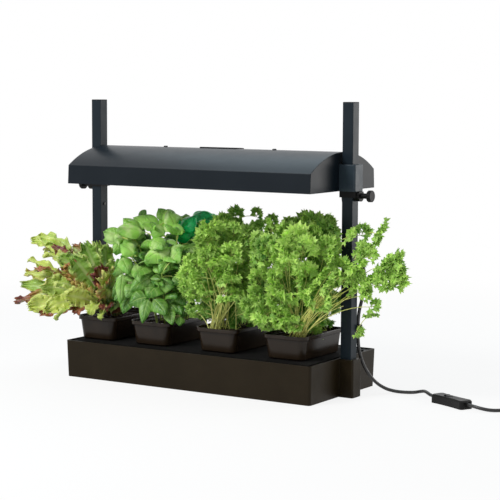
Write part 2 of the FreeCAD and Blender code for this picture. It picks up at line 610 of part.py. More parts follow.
# Lamp: a glass tube with a metal cap and two pins at each end
half_tube = TUBE_LENGTH / 2
glass_half = half_tube - TUBE_CAP_LENGTH
glass = rod(TUBE_RADIUS, V(-glass_half, 0, TUBE_Z), 2 * glass_half, X_AXIS)
glass_bore = rod(TUBE_RADIUS - TUBE_WALL, V(-glass_half - 1, 0, TUBE_Z), 2 * glass_half + 2, X_AXIS)
save("lamp_tube", glass.cut(glass_bore))
tube_cap = rod(TUBE_CAP_RADIUS, V(glass_half, 0, TUBE_Z), TUBE_CAP_LENGTH, X_AXIS)
tube_pins = [rod(TUBE_PIN_RADIUS, V(half_tube - 1, side * TUBE_PIN_SPACING / 2, TUBE_Z), TUBE_PIN_LENGTH + 1, X_AXIS)
             for side in (-1, 1)]
tube_cap = fuse_all([tube_cap] + tube_pins)
save("lamp_tube_caps", Part.makeCompound([tube_cap, mirrored(tube_cap)]))

# Lampholders: they reach down from the batten's ends and take the pins
holder_x = half_tube + HOLDER_END_GAP
holder = block(holder_x, holder_x + HOLDER_THICK, -HOLDER_WIDTH / 2, HOLDER_WIDTH / 2,
               TUBE_Z - TUBE_CAP_RADIUS, BATTEN_FOOT + 4)
flange = block(holder_x, holder_x + HOLDER_THICK, -BATTEN_WIDTH / 2 + BATTEN_WALL, BATTEN_WIDTH / 2 - BATTEN_WALL,
               BATTEN_FOOT + 1, BATTEN_FOOT + 4)
pin_holes = [rod(TUBE_PIN_RADIUS + 0.1, V(holder_x - 1, side * TUBE_PIN_SPACING / 2, TUBE_Z), TUBE_PIN_LENGTH + 2, X_AXIS)
             for side in (-1, 1)]
holder = cut_all(fuse_all([holder, flange]), pin_holes)
save("right_lampholder", holder)
save("left_lampholder", mirrored(holder))

# Reflector: a folded aluminium sheet that closes the batten and spreads the light down
flat = BATTEN_WIDTH / 2
fold = [(-REFLECTOR_HALF_WIDTH, BATTEN_FOOT - REFLECTOR_DROP), (-flat, BATTEN_FOOT), (flat, BATTEN_FOOT),
        (REFLECTOR_HALF_WIDTH, BATTEN_FOOT - REFLECTOR_DROP)]
under = [(y, z - REFLECTOR_THICK) for y, z in reversed(fold)]
reflector = prism(outline([(-REFLECTOR_LENGTH / 2, y, z) for y, z in fold + under]), REFLECTOR_LENGTH, X_AXIS)
save("reflector", cut_all(reflector, rivet_shanks))
rivet_heads = [rod(2.6, V(x, y, BATTEN_FOOT - REFLECTOR_THICK - 1.0), 1.0, Z_AXIS) for x, y in rivet_places]
save("reflector_rivets", Part.makeCompound([fuse_all([head, shaft]) for head, shaft in zip(rivet_heads, rivet_shanks)]))

# Fixture clips: saddles over the batten, with a boss up to the roof, and their screws through it
clips = []
screws = []
for side in (-1, 1):
    x = side * CLIP_X
    wide = BATTEN_WIDTH / 2 + CLIP_THICK
    saddle = block(x - CLIP_LENGTH / 2, x + CLIP_LENGTH / 2, -wide, wide, BATTEN_TOP - CLIP_SIDE, BATTEN_TOP + CLIP_THICK)
    seat = block(x - CLIP_LENGTH, x + CLIP_LENGTH, -BATTEN_WIDTH / 2, BATTEN_WIDTH / 2, BATTEN_FOOT - 1, BATTEN_TOP)
    boss_up = rod(CLIP_BOSS_RADIUS, V(x, 0, BATTEN_TOP + CLIP_THICK / 2), BATTEN_BELOW_HOOD, Z_AXIS)
    clip = fuse_all([saddle.cut(seat), boss_up]).common(hollow)
    clips.append(cut_all(clip, roof_holes))
    head = rod(FIXTURE_HEAD_RADIUS, V(x, 0, HOOD_RIDGE), FIXTURE_HEAD_HEIGHT, Z_AXIS)
    head = head.makeFillet(0.6 * FIXTURE_HEAD_HEIGHT, [e for e in head.Edges if e.BoundBox.ZMin > HOOD_RIDGE + 0.1])
    shaft = rod(FIXTURE_SCREW_RADIUS, V(x, 0, BATTEN_TOP - 3), HOOD_RIDGE - BATTEN_TOP + 3.5, Z_AXIS)
    screws.append(fuse_all([head, shaft]))
save("fixture_clips", Part.makeCompound(clips))
save("fixture_screws", Part.makeCompound(screws))


def fits_in_rim(inset, z, centre_x):
    """The outline of the pot's wall at height z, drawn in by the inset."""
    part = (z - POT_FOOT) / POT_HEIGHT
    half_x = POT_RIM_WIDTH / 2 - POT_RIM_LIP - POT_LEAN * (1 - part) - inset
    half_y = POT_RIM_DEPTH / 2 - POT_RIM_LIP - POT_LEAN * (1 - part) - inset
    return rounded(half_x, half_y, POT_CORNER - POT_RIM_LIP - inset, z, (centre_x, POT_CENTRE_Y))


# Pots: long shallow pots with a turned-out rim band and drain holes, each filled with soil
band_foot = POT_TOP - POT_RIM_BAND
step = band_foot + POT_WALL
foot_top = POT_FOOT + POT_FOOT_BAND
for number, centre_x in enumerate(POT_CENTRES_X, 1):
    sides = ruled([fits_in_rim(POT_FOOT_INSET, POT_FOOT, centre_x), fits_in_rim(0, foot_top, centre_x),
                   fits_in_rim(0, step, centre_x)])
    room = ruled([fits_in_rim(POT_WALL, POT_FOOT + POT_FOOT_BAND, centre_x), fits_in_rim(POT_WALL, step, centre_x)])
    room = room.fuse(prism(fits_in_rim(POT_WALL + POT_FOOT_INSET, POT_FOOT + POT_WALL, centre_x), POT_FOOT_BAND))
    band = prism(rounded(POT_RIM_WIDTH / 2, POT_RIM_DEPTH / 2, POT_CORNER, band_foot, (centre_x, POT_CENTRE_Y)),
                 POT_RIM_BAND)
    band_room = prism(rounded(POT_RIM_WIDTH / 2 - POT_WALL, POT_RIM_DEPTH / 2 - POT_WALL, POT_CORNER - POT_WALL, step,
                              (centre_x, POT_CENTRE_Y)), POT_RIM_BAND)
    drains = [rod(POT_DRAIN / 2, V(centre_x + dx, POT_CENTRE_Y + dy, POT_FOOT - 1), POT_WALL + 2, Z_AXIS)
              for dx in (-22, 22) for dy in (-50, 0, 50)]
    save(f"pot_{number}", cut_all(sides.fuse(band).removeSplitter(), [room, band_room] + drains))
    soil = ruled([fits_in_rim(POT_WALL, foot_top, centre_x), fits_in_rim(POT_WALL, POT_TOP - SOIL_BELOW_RIM, centre_x)])
    save(f"soil_{number}", soil)


def level(z, x0, x1, y0, y1):
    """One outline of a clump: a twelve-sided ring that fills its box."""
    cx, cy = (x0 + x1) / 2, (y0 + y1) / 2
    ring = []
    for k in range(12):
        turn = 2 * math.pi * (k + 0.5) / 12
        reach = max(abs(math.cos(turn)), abs(math.sin(turn))) ** 0.5
        ring.append((cx + (x1 - x0) / 2 * math.cos(turn) / reach, cy + (y1 - y0) / 2 * math.sin(turn) / reach, z))
    return outline(ring)


def clump(pot, levels, side=0, lobes=()):
    """Foliage over one pot: stems inside the rim, a canopy over it, and lobes that hang out.

    A level is its height over the rim, how far it is drawn in from its lane's two sides, and its
    front and back from the pot's middle. A lobe hangs out over the rim's left or right side, and its
    levels have their two sides measured from that.
    """
    centre_x = POT_CENTRES_X[pot]
    lanes = [centre_x - POT_RIM_WIDTH / 2] + LANES_X + [centre_x + POT_RIM_WIDTH / 2]
    left, right = lanes[pot], lanes[pot + 1]
    stem_x = POT_RIM_WIDTH / 2 - POT_RIM_LIP - POT_WALL - NECK_GAP
    stem_y = POT_RIM_DEPTH / 2 - POT_RIM_LIP - POT_WALL - NECK_GAP
    neck = [level(z, centre_x - stem_x, centre_x + stem_x, POT_CENTRE_Y - stem_y, POT_CENTRE_Y + stem_y)
            for z in (POT_TOP - SOIL_BELOW_RIM, POT_TOP + NECK_ABOVE_RIM)]
    canopy = [level(POT_TOP + z, left + from_left, right - from_right, POT_CENTRE_Y + y0, POT_CENTRE_Y + y1)
              for z, from_left, from_right, y0, y1 in levels]
    rim_x = centre_x + side * POT_RIM_WIDTH / 2
    pieces = [ruled([level(POT_TOP + z, rim_x + x0, rim_x + x1, POT_CENTRE_Y + y0, POT_CENTRE_Y + y1)
                     for z, x0, x1, y0, y1 in lobe]) for lobe in lobes]
    return fuse_all([ruled(neck + canopy)] + pieces)


# Plants: lettuce, basil and two parsleys, with their outer form only
save("lettuce", clump(0, [
                (33.2, 5.0, 2.0, -103.0, 88.0), (98.2, 5.0, 2.0, -106.0, 92.0),
                (130.2, 10.0, 7.0, -88.0, 78.0), (146.2, 26.0, 21.0, -48.0, 52.0)], -1, [
                [(-23.8, -56.0, -10.0, -98.0, -18.0), (18.2, -126.0, 8.0, -150.0, -10.0),
                 (68.2, -150.0, 16.0, -156.0, -4.0), (113.2, -146.0, 21.0, -138.0, -8.0),
                 (136.2, -114.0, 16.0, -108.0, -18.0)]]))
save("basil", clump(1, [
                (28.2, 7.0, 7.5, -118.0, 114.0), (108.2, 2.0, 2.5, -128.0, 122.0),
                (178.2, 2.0, 2.5, -126.0, 122.0), (220.2, 13.0, 13.5, -98.0, 120.0),
                (251.2, 45.0, 45.5, -18.0, 104.0)]))
save("parsley_left", clump(2, [
                (43.2, 20.5, 21.0, -88.0, 92.0), (108.2, 2.5, 3.0, -116.0, 114.0),
                (178.2, 2.5, 3.0, -118.0, 116.0), (218.2, 14.5, 15.0, -96.0, 106.0),
                (240.2, 44.5, 35.0, -48.0, 72.0)]))
save("parsley_right", clump(3, [
                (43.2, 29.0, -6.0, -88.0, 88.0), (108.2, 3.0, -18.0, -116.0, 110.0),
                (178.2, 3.0, -14.0, -118.0, 110.0), (213.2, 17.0, 2.0, -96.0, 98.0),
                (238.2, 49.0, 28.0, -48.0, 68.0)], 1, [
                [(40.2, -28.0, 66.0, -98.0, -18.0), (108.2, -38.0, 67.0, -126.0, -4.0),
                 (178.2, -38.0, 67.0, -126.0, -4.0), (220.2, -42.0, 52.0, -98.0, -18.0)],
                [(-19.8, 84.0, 126.0, -78.0, -28.0), (18.2, 72.0, 154.0, -108.0, 0.0),
                 (83.2, 68.0, 206.0, -116.0, 2.0), (158.2, 68.0, 208.0, -116.0, 2.0),
                 (208.2, 22.0, 182.0, -98.0, -12.0), (232.2, 22.0, 142.0, -74.0, -28.0)]]))

# Terminal box and gland: where the supply lead leaves the lamp's end
box_x = HALF_HOOD - HOOD_WALL - BOX_END_GAP - BOX_LENGTH
box = block(box_x, box_x + BOX_LENGTH, BATTEN_WIDTH / 2, BATTEN_WIDTH / 2 + BOX_DEPTH, GLAND_TOP, GLAND_TOP + BOX_HEIGHT)
box = box.makeFillet(2.0, [e for e in box.Edges if abs(e.BoundBox.ZLength - BOX_HEIGHT) < 0.01
                           and e.BoundBox.YMin > BATTEN_WIDTH / 2 + 1])
save("terminal_box", box)
gland = Part.makeCone(GLAND_FOOT_RADIUS, GLAND_TOP_RADIUS, GLAND_LENGTH, V(GLAND_X, GLAND_Y, GLAND_FOOT))
save("cord_gland", gland)

# Cord clip: a small moulded clip on the right post's back face
clip_y = POST_DEPTH / 2
clip_body = block(CLIPPED_X - CORD_CLIP_WIDTH / 2, CLIPPED_X + CORD_CLIP_WIDTH / 2, clip_y, clip_y + CORD_CLIP_REACH,
                  CORD_CLIP_Z - CORD_CLIP_HEIGHT / 2, CORD_CLIP_Z + CORD_CLIP_HEIGHT / 2)
clip_body = clip_body.makeFillet(2.5, [e for e in clip_body.Edges if e.BoundBox.YMin > clip_y + 1])
clip_hole = rod(CORD_RADIUS + CORD_CLIP_HOLE_GAP, V(CLIPPED_X, CLIPPED_Y, 0), 2 * CORD_CLIP_Z, Z_AXIS)
save("cord_clip", clip_body.cut(clip_hole))


def switch_point(along, z):
    """A place on the switch's long axis, on the table's frame."""
    turn = math.radians(SWITCH_TURN)
    return (SWITCH_CENTRE[0] + along * math.cos(turn), SWITCH_CENTRE[1] + along * math.sin(turn), z)


# Supply cord, from the gland down to the clip, and from the clip over the table to the switch
cord_end = SWITCH_LENGTH / 2 + SWITCH_RELIEF_OUT
upper_route = [(GLAND_X, GLAND_Y, GLAND_FOOT), (GLAND_X, GLAND_Y, 404), (295, 33, 366), (316, 33, 320), (336, 28.5, 280),
               (343.5, 24.5, 240), (339.5, 21.8, 202), (CLIPPED_X, CLIPPED_Y, 169), (CLIPPED_X, CLIPPED_Y, CORD_CLIP_Z)]
save("hood_cord", tube("hood_cord", cord_path("hood_cord", upper_route), CORD_RADIUS))
floor_route = [(CLIPPED_X, CLIPPED_Y, CORD_CLIP_Z), (CLIPPED_X, CLIPPED_Y, 116), (332.8, 23.5, 90), (338, 30, 65),
               (346.5, 41, 41.5), (357, 56, 22), (371, 72, 9), (389, 82.5, 4), (409, 86.5, 3.8), (428, 90, 5), (444, 87.5, 9.5),
               (457.5, 78, 12.6), (469.5, 66.5, 12), switch_point(-cord_end - 14.5, SWITCH_CORD_Z),
               switch_point(-cord_end, SWITCH_CORD_Z)]
save("floor_cord", tube("floor_cord", cord_path("floor_cord", floor_route), CORD_RADIUS))


def switch_outline(inset, z):
    """The switch from above: round corners, and long sides drawn in towards the middle."""
    half = SWITCH_LENGTH / 2 - inset
    wide = SWITCH_END_WIDTH / 2 - inset
    waist = SWITCH_WAIST / 2 - inset
    radius = SWITCH_CORNER - 0.5 * inset
    lean = radius * (1 - math.sqrt(0.5))
    a, b = half - radius, wide - radius
    edges = []
    for s in (1, -1):
        edges.append(Part.Arc(V(-s * a, -s * wide, z), V(0, -s * waist, z), V(s * a, -s * wide, z)).toShape())
        edges.append(Part.Arc(V(s * a, -s * wide, z), V(s * (half - lean), -s * (wide - lean), z), V(s * half, -s * b, z)).toShape())
        edges.append(Part.LineSegment(V(s * half, -s * b, z), V(s * half, s * b, z)).toShape())
        edges.append(Part.Arc(V(s * half, s * b, z), V(s * (half - lean), s * (wide - lean), z), V(s * a, s * wide, z)).toShape())
    return Part.Wire(Part.__sortEdges__(edges))


# In-line switch: two moulded halves, with contacts, a bushing at each end and three screws
hollow_half = SWITCH_LENGTH / 2 - SWITCH_RELIEF_INSIDE - 1
relief_rods = [rod(SWITCH_RELIEF_RADIUS, V(side * (SWITCH_LENGTH / 2 - SWITCH_RELIEF_INSIDE) - (0 if side > 0 else
                   SWITCH_RELIEF_INSIDE + SWITCH_RELIEF_OUT), 0, SWITCH_CORD_Z), SWITCH_RELIEF_INSIDE + SWITCH_RELIEF_OUT,
                   X_AXIS) for side in (-1, 1)]
rocker_room = rod(ROCKER_RADIUS + ROCKER_GAP, V(ROCKER_PLACE, -ROCKER_WIDTH / 2 - ROCKER_GAP, ROCKER_PIVOT_Z),
                  ROCKER_WIDTH + 2 * ROCKER_GAP, Y_AXIS)
rocker_room = rocker_room.common(block(-SWITCH_LENGTH, SWITCH_LENGTH, -SWITCH_END_WIDTH, SWITCH_END_WIDTH,
                                       ROCKER_PIVOT_Z - ROCKER_ROOM_BELOW, 2 * SWITCH_TOP))
hollow_y = SWITCH_WAIST / 2 - SWITCH_WALL
inside = block(-hollow_half, hollow_half, -hollow_y, hollow_y, SWITCH_WALL, SWITCH_SHOULDER)
screw_x = SWITCH_LENGTH / 2 - SWITCH_SCREW_END
screw_y = SWITCH_WAIST / 2 - SWITCH_SCREW_EDGE
screw_places = ((-screw_x, screw_y), (screw_x, screw_y), (SWITCH_LENGTH / 2 - SWITCH_SCREW_MIDDLE, -screw_y))
case_screws = []
for x, y in screw_places:
    head = rod(2.4, V(x, y, 1.0), 1.2, Z_AXIS)
    case_screws.append(fuse_all([head, rod(1.2, V(x, y, 2.0), SWITCH_SHOULDER - 3.0, Z_AXIS)]))
pillars = [rod(3.4, V(x, y, SWITCH_WALL / 2), SWITCH_SHOULDER - SWITCH_WALL / 2, Z_AXIS) for x, y in screw_places]
wells = [rod(2.4, V(x, y, -1), 2.0, Z_AXIS) for x, y in screw_places]
base = prism(switch_outline(0, 0), SWITCH_SPLIT)
base = cut_all(base, [cut_all(inside, pillars)] + case_screws + wells + relief_rods + [rocker_room])
cover = ruled([switch_outline(0, SWITCH_SPLIT), switch_outline(0, SWITCH_SHOULDER), switch_outline(2.6, SWITCH_TOP)])
cover = cut_all(cover, [cut_all(inside, pillars)] + case_screws + relief_rods + [rocker_room])
contacts = [block(x0, x1, -5, 5, SWITCH_WALL, 8.0)
            for x0, x1 in ((6 - hollow_half, 16 - hollow_half), (10, 16), (hollow_half - 16, hollow_half - 8))]
rocker = rod(ROCKER_RADIUS, V(ROCKER_PLACE, -ROCKER_WIDTH / 2, ROCKER_PIVOT_Z), ROCKER_WIDTH, Y_AXIS)
rocker = rocker.cut(block(ROCKER_PLACE - 20, ROCKER_PLACE + 20, -20, 20, -20, ROCKER_PIVOT_Z - ROCKER_BELOW_PIVOT))
dip = rod(ROCKER_DIP_RADIUS, V(ROCKER_PLACE, -ROCKER_WIDTH, SWITCH_TOP + ROCKER_DIP_ABOVE_COVER + ROCKER_DIP_RADIUS),
          2 * ROCKER_WIDTH, Y_AXIS)
rocker = rocker.cut(dip)
pivots = [rod(1.5, V(ROCKER_PLACE, side * (ROCKER_WIDTH / 2) - (1.2 if side < 0 else 0), ROCKER_PIVOT_Z), 1.2, Y_AXIS)
          for side in (-1, 1)]
pivot_holes = rod(1.55, V(ROCKER_PLACE, -ROCKER_WIDTH / 2 - 1.6, ROCKER_PIVOT_Z), ROCKER_WIDTH + 3.2, Y_AXIS)
rocker = fuse_all([rocker] + pivots)
rocker.rotate(V(ROCKER_PLACE, 0, ROCKER_PIVOT_Z), Y_AXIS, ROCKER_TILT)
cheeks = [block(ROCKER_PLACE - 4, ROCKER_PLACE + 4, side * (ROCKER_WIDTH / 2 + ROCKER_GAP) - (2.4 if side < 0 else 0),
                side * (ROCKER_WIDTH / 2 + ROCKER_GAP) + (2.4 if side > 0 else 0), ROCKER_PIVOT_Z - 3.5, SWITCH_SHOULDER)
          for side in (-1, 1)]
cover = fuse_all([cover] + cheeks).cut(pivot_holes)
save("switch_base", placed(cut_all(base, cheeks), SWITCH_CENTRE, SWITCH_TURN))
save("switch_cover", placed(cover, SWITCH_CENTRE, SWITCH_TURN))
save("switch_contacts", placed(Part.makeCompound(contacts), SWITCH_CENTRE, SWITCH_TURN))
save("switch_screws", placed(Part.makeCompound(case_screws), SWITCH_CENTRE, SWITCH_TURN))
save("switch_bushings", placed(Part.makeCompound(relief_rods), SWITCH_CENTRE, SWITCH_TURN))
save("switch_rocker", placed(rocker, SWITCH_CENTRE, SWITCH_TURN))


def coil_point(turned):
    """Place and direction on the coil's middle line, after so many degrees of winding."""
    layer = 360 * COIL_TURNS_PER_LAYER
    inner = COIL_OUTER - COIL_PITCH * COIL_TURNS_PER_LAYER
    rate = COIL_PITCH / (2 * math.pi)
    low = COIL_REST
    if turned <= layer:
        radius, drift, z, climb = COIL_OUTER - rate * math.radians(turned), -rate, low, 0.0
    elif turned <= layer + 180:
        part = (turned - layer) / 180
        sweep = math.radians(turned - layer)
        radius = inner - 0.67 * COIL_CLIMB_DRAW * math.sin(sweep)
        drift = -0.67 * COIL_CLIMB_DRAW * math.cos(sweep)
        z = low + COIL_PITCH * (1 - math.cos(math.pi * part)) / 2
        climb = COIL_PITCH * math.sin(math.pi * part) / 2
    else:
        radius, drift, z, climb = inner + rate * math.radians(turned - layer - 180), rate, low + COIL_PITCH, 0.0
    at = math.radians(COIL_START_ANGLE - turned)
    place = V(COIL_CENTRE[0] + radius * math.cos(at), COIL_CENTRE[1] + radius * math.sin(at), z)
    way = V(drift * math.cos(at) + radius * math.sin(at), drift * math.sin(at) - radius * math.cos(at), climb)
    return place, way.normalize()


# The rest of the cord: from the switch to the coil that is put away, and the coil itself
coil_start, coil_way = coil_point(0)
lead_in = coil_start - coil_way * (2 * CORD_RADIUS)
tail_route = [switch_point(cord_end, SWITCH_CORD_Z), switch_point(cord_end + 15, SWITCH_CORD_Z), (617.0, 0.7, 7.2),
              (633.2, 5.4, 4.6), (646.8, 15.9, 3.8), (658.7, 28.9, 4.1), tuple(lead_in - coil_way * 14), tuple(lead_in)]
save("tail_cord", tube("tail_cord", cord_path("tail_cord", tail_route), CORD_RADIUS))
whole_turn = 720 * COIL_TURNS_PER_LAYER + 180
steps = int(whole_turn / 90)
stations = [coil_point(whole_turn * k / steps) for k in range(steps + 1)]
edges = [Part.LineSegment(lead_in, coil_start).toShape()]
for (a, a_way), (b, b_way) in zip(stations, stations[1:]):
    edges += biarc(a, a_way, b, b_way)
coil_stop, stop_way = stations[-1]
drop_start = coil_stop + stop_way * (2 * CORD_RADIUS)
drop_stop = drop_start + stop_way * PLUG_DROP
drop_stop.z = PLUG_HEIGHT / 2
cord_stop = drop_stop + stop_way * (2 * CORD_RADIUS)
edges += [Part.LineSegment(coil_stop, drop_start).toShape()]
edges += biarc(drop_start, stop_way, drop_stop, stop_way)
edges += [Part.LineSegment(drop_stop, cord_stop).toShape()]
coil_wire = Part.Wire(edges)
print(f"cord_coil: length {coil_wire.Length:.1f}")
dots = []
run = 0.0
for edge in coil_wire.Edges:
    count = max(2, int(edge.Length / 2))
    for k in range(count):
        at = edge.FirstParameter + (edge.LastParameter - edge.FirstParameter) * k / count
        dots.append((run + edge.Length * k / count, edge.valueAt(at)))
    run += edge.Length
least = min(p.distanceToPoint(q) for i, (s, p) in enumerate(dots) for t, q in dots[i + 1:] if t - s > 60.0)
print(f"cord_coil: least gap to itself {least - 2 * CORD_RADIUS:.2f}")
save("cord_coil", tube("cord_coil", coil_wire, CORD_RADIUS))

# Band that ties the coil
band_in = COIL_OUTER - COIL_PITCH * COIL_TURNS_PER_LAYER - CORD_RADIUS - TIE_GAP
band_out = COIL_OUTER + CORD_RADIUS + TIE_GAP
band_top = COIL_REST + COIL_PITCH + CORD_RADIUS + TIE_GAP
tie = block(band_in - TIE_THICK, band_out + TIE_THICK, -TIE_WIDTH / 2, TIE_WIDTH / 2,
            COIL_REST - CORD_RADIUS - TIE_GAP - TIE_THICK, band_top + TIE_THICK)
tie = tie.makeFillet(2.5, [e for e in tie.Edges if abs(e.BoundBox.YLength - TIE_WIDTH) < 0.01])
tie = tie.cut(block(band_in, band_out, -TIE_WIDTH, TIE_WIDTH, COIL_REST - CORD_RADIUS - TIE_GAP, band_top))
save("coil_tie", placed(tie, COIL_CENTRE, TIE_ANGLE))

# Plug: a flat moulded two-pin plug on its side on the table
plug_turn = math.degrees(math.atan2(stop_way.y, stop_way.x))
plug_z = PLUG_HEIGHT / 2
plug = block(PLUG_SLEEVE, PLUG_SLEEVE + PLUG_LENGTH, -PLUG_WIDTH / 2, PLUG_WIDTH / 2, 0, PLUG_HEIGHT)
plug = plug.makeFillet(PLUG_CORNER, [e for e in plug.Edges if abs(e.BoundBox.ZLength - PLUG_HEIGHT) < 0.01])
sleeve_cone = Part.makeCone(CORD_RADIUS + 0.8, CORD_RADIUS + 2.7, PLUG_SLEEVE + 1, V(0, 0, plug_z), X_AXIS)
pin_rods = [rod(PIN_RADIUS, V(PLUG_SLEEVE + PLUG_LENGTH - PIN_SEAT, side * PIN_SPACING / 2, plug_z),
                PIN_LENGTH + PIN_SEAT, X_AXIS) for side in (-1, 1)]
plug = cut_all(fuse_all([plug, sleeve_cone]), pin_rods)
plug_at = (cord_stop.x, cord_stop.y)
save("plug_body", placed(plug, plug_at, plug_turn))
save("plug_pins", placed(Part.makeCompound(pin_rods), plug_at, plug_turn))
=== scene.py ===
import math

import bpy
import numpy as np
from mathutils import Matrix, Vector


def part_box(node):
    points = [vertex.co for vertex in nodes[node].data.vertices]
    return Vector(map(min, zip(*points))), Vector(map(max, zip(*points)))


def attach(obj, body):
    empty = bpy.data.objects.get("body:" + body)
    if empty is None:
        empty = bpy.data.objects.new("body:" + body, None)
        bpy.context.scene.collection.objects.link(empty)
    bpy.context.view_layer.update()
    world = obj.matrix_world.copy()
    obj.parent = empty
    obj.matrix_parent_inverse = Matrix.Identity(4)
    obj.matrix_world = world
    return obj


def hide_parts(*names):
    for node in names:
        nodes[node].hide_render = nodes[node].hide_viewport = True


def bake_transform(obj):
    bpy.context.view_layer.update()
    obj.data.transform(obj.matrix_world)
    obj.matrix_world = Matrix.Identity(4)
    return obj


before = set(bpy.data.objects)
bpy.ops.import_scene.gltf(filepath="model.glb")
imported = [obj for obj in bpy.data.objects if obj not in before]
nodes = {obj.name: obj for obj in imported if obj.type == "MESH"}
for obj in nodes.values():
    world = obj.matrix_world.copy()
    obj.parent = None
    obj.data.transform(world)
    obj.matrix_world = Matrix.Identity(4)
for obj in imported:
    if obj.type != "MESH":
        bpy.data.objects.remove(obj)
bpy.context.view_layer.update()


# The camera stands in front of the garden's right half, a little above the hood, and looks down slightly.
# Its place and lens are those from which the tray, the posts and the hood line up with the photograph.
def placed(name, data):
    """A new object in the scene, for a mesh, a curve, a lamp or the camera."""
    piece = bpy.data.objects.new(name, data)
    bpy.context.scene.collection.objects.link(piece)
    return piece


camera_place = (1.916221, -2.890768, 0.63607)
yaw, pitch, roll = 0.566, 0.101, 0.004
focal_length, film_width, farthest = 116.8, 36.0, 40.0
ahead = Vector((-math.sin(yaw) * math.cos(pitch), math.cos(yaw) * math.cos(pitch), -math.sin(pitch)))
level_right = Vector((math.cos(yaw), math.sin(yaw), 0))
level_up = level_right.cross(ahead)
right = level_right * math.cos(roll) + level_up * math.sin(roll)
up = level_up * math.cos(roll) - level_right * math.sin(roll)
lens = bpy.data.cameras.new("camera")
lens.lens, lens.sensor_width, lens.clip_end = focal_length, film_width, farthest
camera = placed("camera", lens)
camera.matrix_world = Matrix.Translation(camera_place) @ Matrix((right, up, -ahead)).transposed().to_4x4()
bpy.context.scene.camera = camera
bpy.context.scene.view_settings.view_transform = "Standard"


# The supply cord is one black flexible lead, 7 mm thick, in three stretches: down behind the right post
# to its clip, over the table to the in-line switch, and on to the coil that is put away, tied by a band.
class Pattern:
    """A socket that adds, multiplies and subtracts like a number."""

    def __init__(self, recipe, socket):
        self.recipe, self.socket = recipe, socket

    def math(self, operation, first, second=0.0):
        return self.recipe.node("ShaderNodeMath", {"operation": operation}, {0: first, 1: second})

    def __add__(self, other):
        return self.math("ADD", self, other)

    def __sub__(self, other):
        return self.math("SUBTRACT", self, other)

    def __rsub__(self, other):
        return self.math("SUBTRACT", other, self)

    def __mul__(self, other):
        return self.math("MULTIPLY", self, other)

    def __abs__(self):
        return self.math("ABSOLUTE", self)

    __radd__, __rmul__ = __add__, __mul__

    def cosine(self):
        return self.math("COSINE", self)

    def fade(self, low, high, out_low=0.0, out_high=1.0):
        """Smoothly from out_low to out_high while the pattern goes from low to high."""
        return self.recipe.node("ShaderNodeMapRange", {"interpolation_type": "SMOOTHSTEP"},
                                {0: self, 1: low, 2: high, 3: out_low, 4: out_high})


def tint(*screen):
    """A colour as it looks on a screen, 0 to 255, as the shader's linear colour."""
    return (*(((v / 255 + 0.055) / 1.055) ** 2.4 if v > 10 else v / 255 / 12.92 for v in screen), 1.0)


class Recipe:
    """A tree of nodes, and the one way in which nodes are added to it."""

    def __init__(self, tree):
        self.tree = tree

    def node(self, kind, settings=None, values=None, out=0):
        """Adds a node. Each value is a number, a pattern, or a list of patterns that join there."""
        made = self.tree.nodes.new(kind)
        for key, value in (settings or {}).items():
            setattr(made, key, value)
        for key, value in (values or {}).items():
            if isinstance(value, (Pattern, list)):
                for pattern in value if isinstance(value, list) else [value]:
                    self.tree.links.new(pattern.socket, made.inputs[key])
            else:
                made.inputs[key].default_value = value
        return Pattern(self, made.outputs[out])


class Finish(Recipe):
    """One surface finish: its fixed numbers are set on the shader, and its patterns drive what varies."""

    def __init__(self, name, **fixed):
        self.material = bpy.data.materials.new(name)
        self.material.use_nodes = True
        super().__init__(self.material.node_tree)
        self.shader = self.tree.nodes["Principled BSDF"]
        for key, value in fixed.items():
            self.shader.inputs[key.replace("_", " ")].default_value = value

    def place(self):
        return self.node("ShaderNodeTexCoord", out="Object")

    def noise(self, scale, detail=3.0, roughness=0.5, where=None):
        return self.node("ShaderNodeTexNoise", {}, {"Vector": where or self.place(), "Scale": scale,
                                                    "Detail": detail, "Roughness": roughness})

    def mark(self, name):
        """A number that the mesh carries at each point."""
        return self.node("ShaderNodeAttribute", {"attribute_name": name}, out="Fac")

    def mix(self, amount, first, second):
        return self.node("ShaderNodeMix", {"data_type": "RGBA"}, {0: amount, 6: first, 7: second}, out=2)

    def drive(self, socket, pattern):
        self.tree.links.new(pattern.socket, self.shader.inputs[socket])

    def colour(self, *mixed):
        self.drive("Base Color", self.mix(*mixed))

    def gloss(self, cloud, low, high):
        """Roughness that drifts between two values with a cloudy pattern."""
        self.drive("Roughness", cloud.fade(0.3, 0.7, low, high))

    def relief(self, height, distance, soften=0.0):
        """Raises the surface by a pattern, and rounds off sharp edges to a radius."""
        values = {"Height": height, "Distance": distance, "Strength": 1.0}
        if soften:
            values["Normal"] = self.node("ShaderNodeBevel", {"samples": 4}, {"Radius": soften})
        self.drive("Normal", self.node("ShaderNodeBump", {}, values))


def moulded(name, colour, roughness=0.42, grain=0.00003, soften=0.0007, wear=0.25, shine=0.12, patchy=0.05):
    """Black moulded plastic: fine spark-eroded grain, faint handling marks, and edges that a mould rounds."""
    finish = Finish(name, Roughness=roughness, Specular_IOR_Level=shine)
    pale = tuple(min(1.0, c * (1 + wear) + 0.0012) for c in colour[:3]) + (1.0,)
    finish.colour(finish.noise(9.0, 4.0, 0.6).fade(0.35, 0.75), colour, pale)
    finish.gloss(finish.noise(38.0, 3.0, 0.55), roughness - patchy, roughness + patchy)
    finish.relief(finish.noise(2600.0, 2.0, 0.5), grain, soften)
    return finish.material


def dress(material, *names):
    for name in names:
        nodes[name].data.materials.clear()
        nodes[name].data.materials.append(material)


def clouded(name, scale, first, second, *names, polish=None, **fixed):
    """A finish that drifts between two shades in clouds, and in gloss too, put on the CAD pieces named."""
    finish = Finish(name, **fixed)
    finish.colour(finish.noise(scale), first, second)
    if polish:
        finish.gloss(finish.noise(polish[0]), *polish[1:])
    dress(finish.material, *names)
    return finish


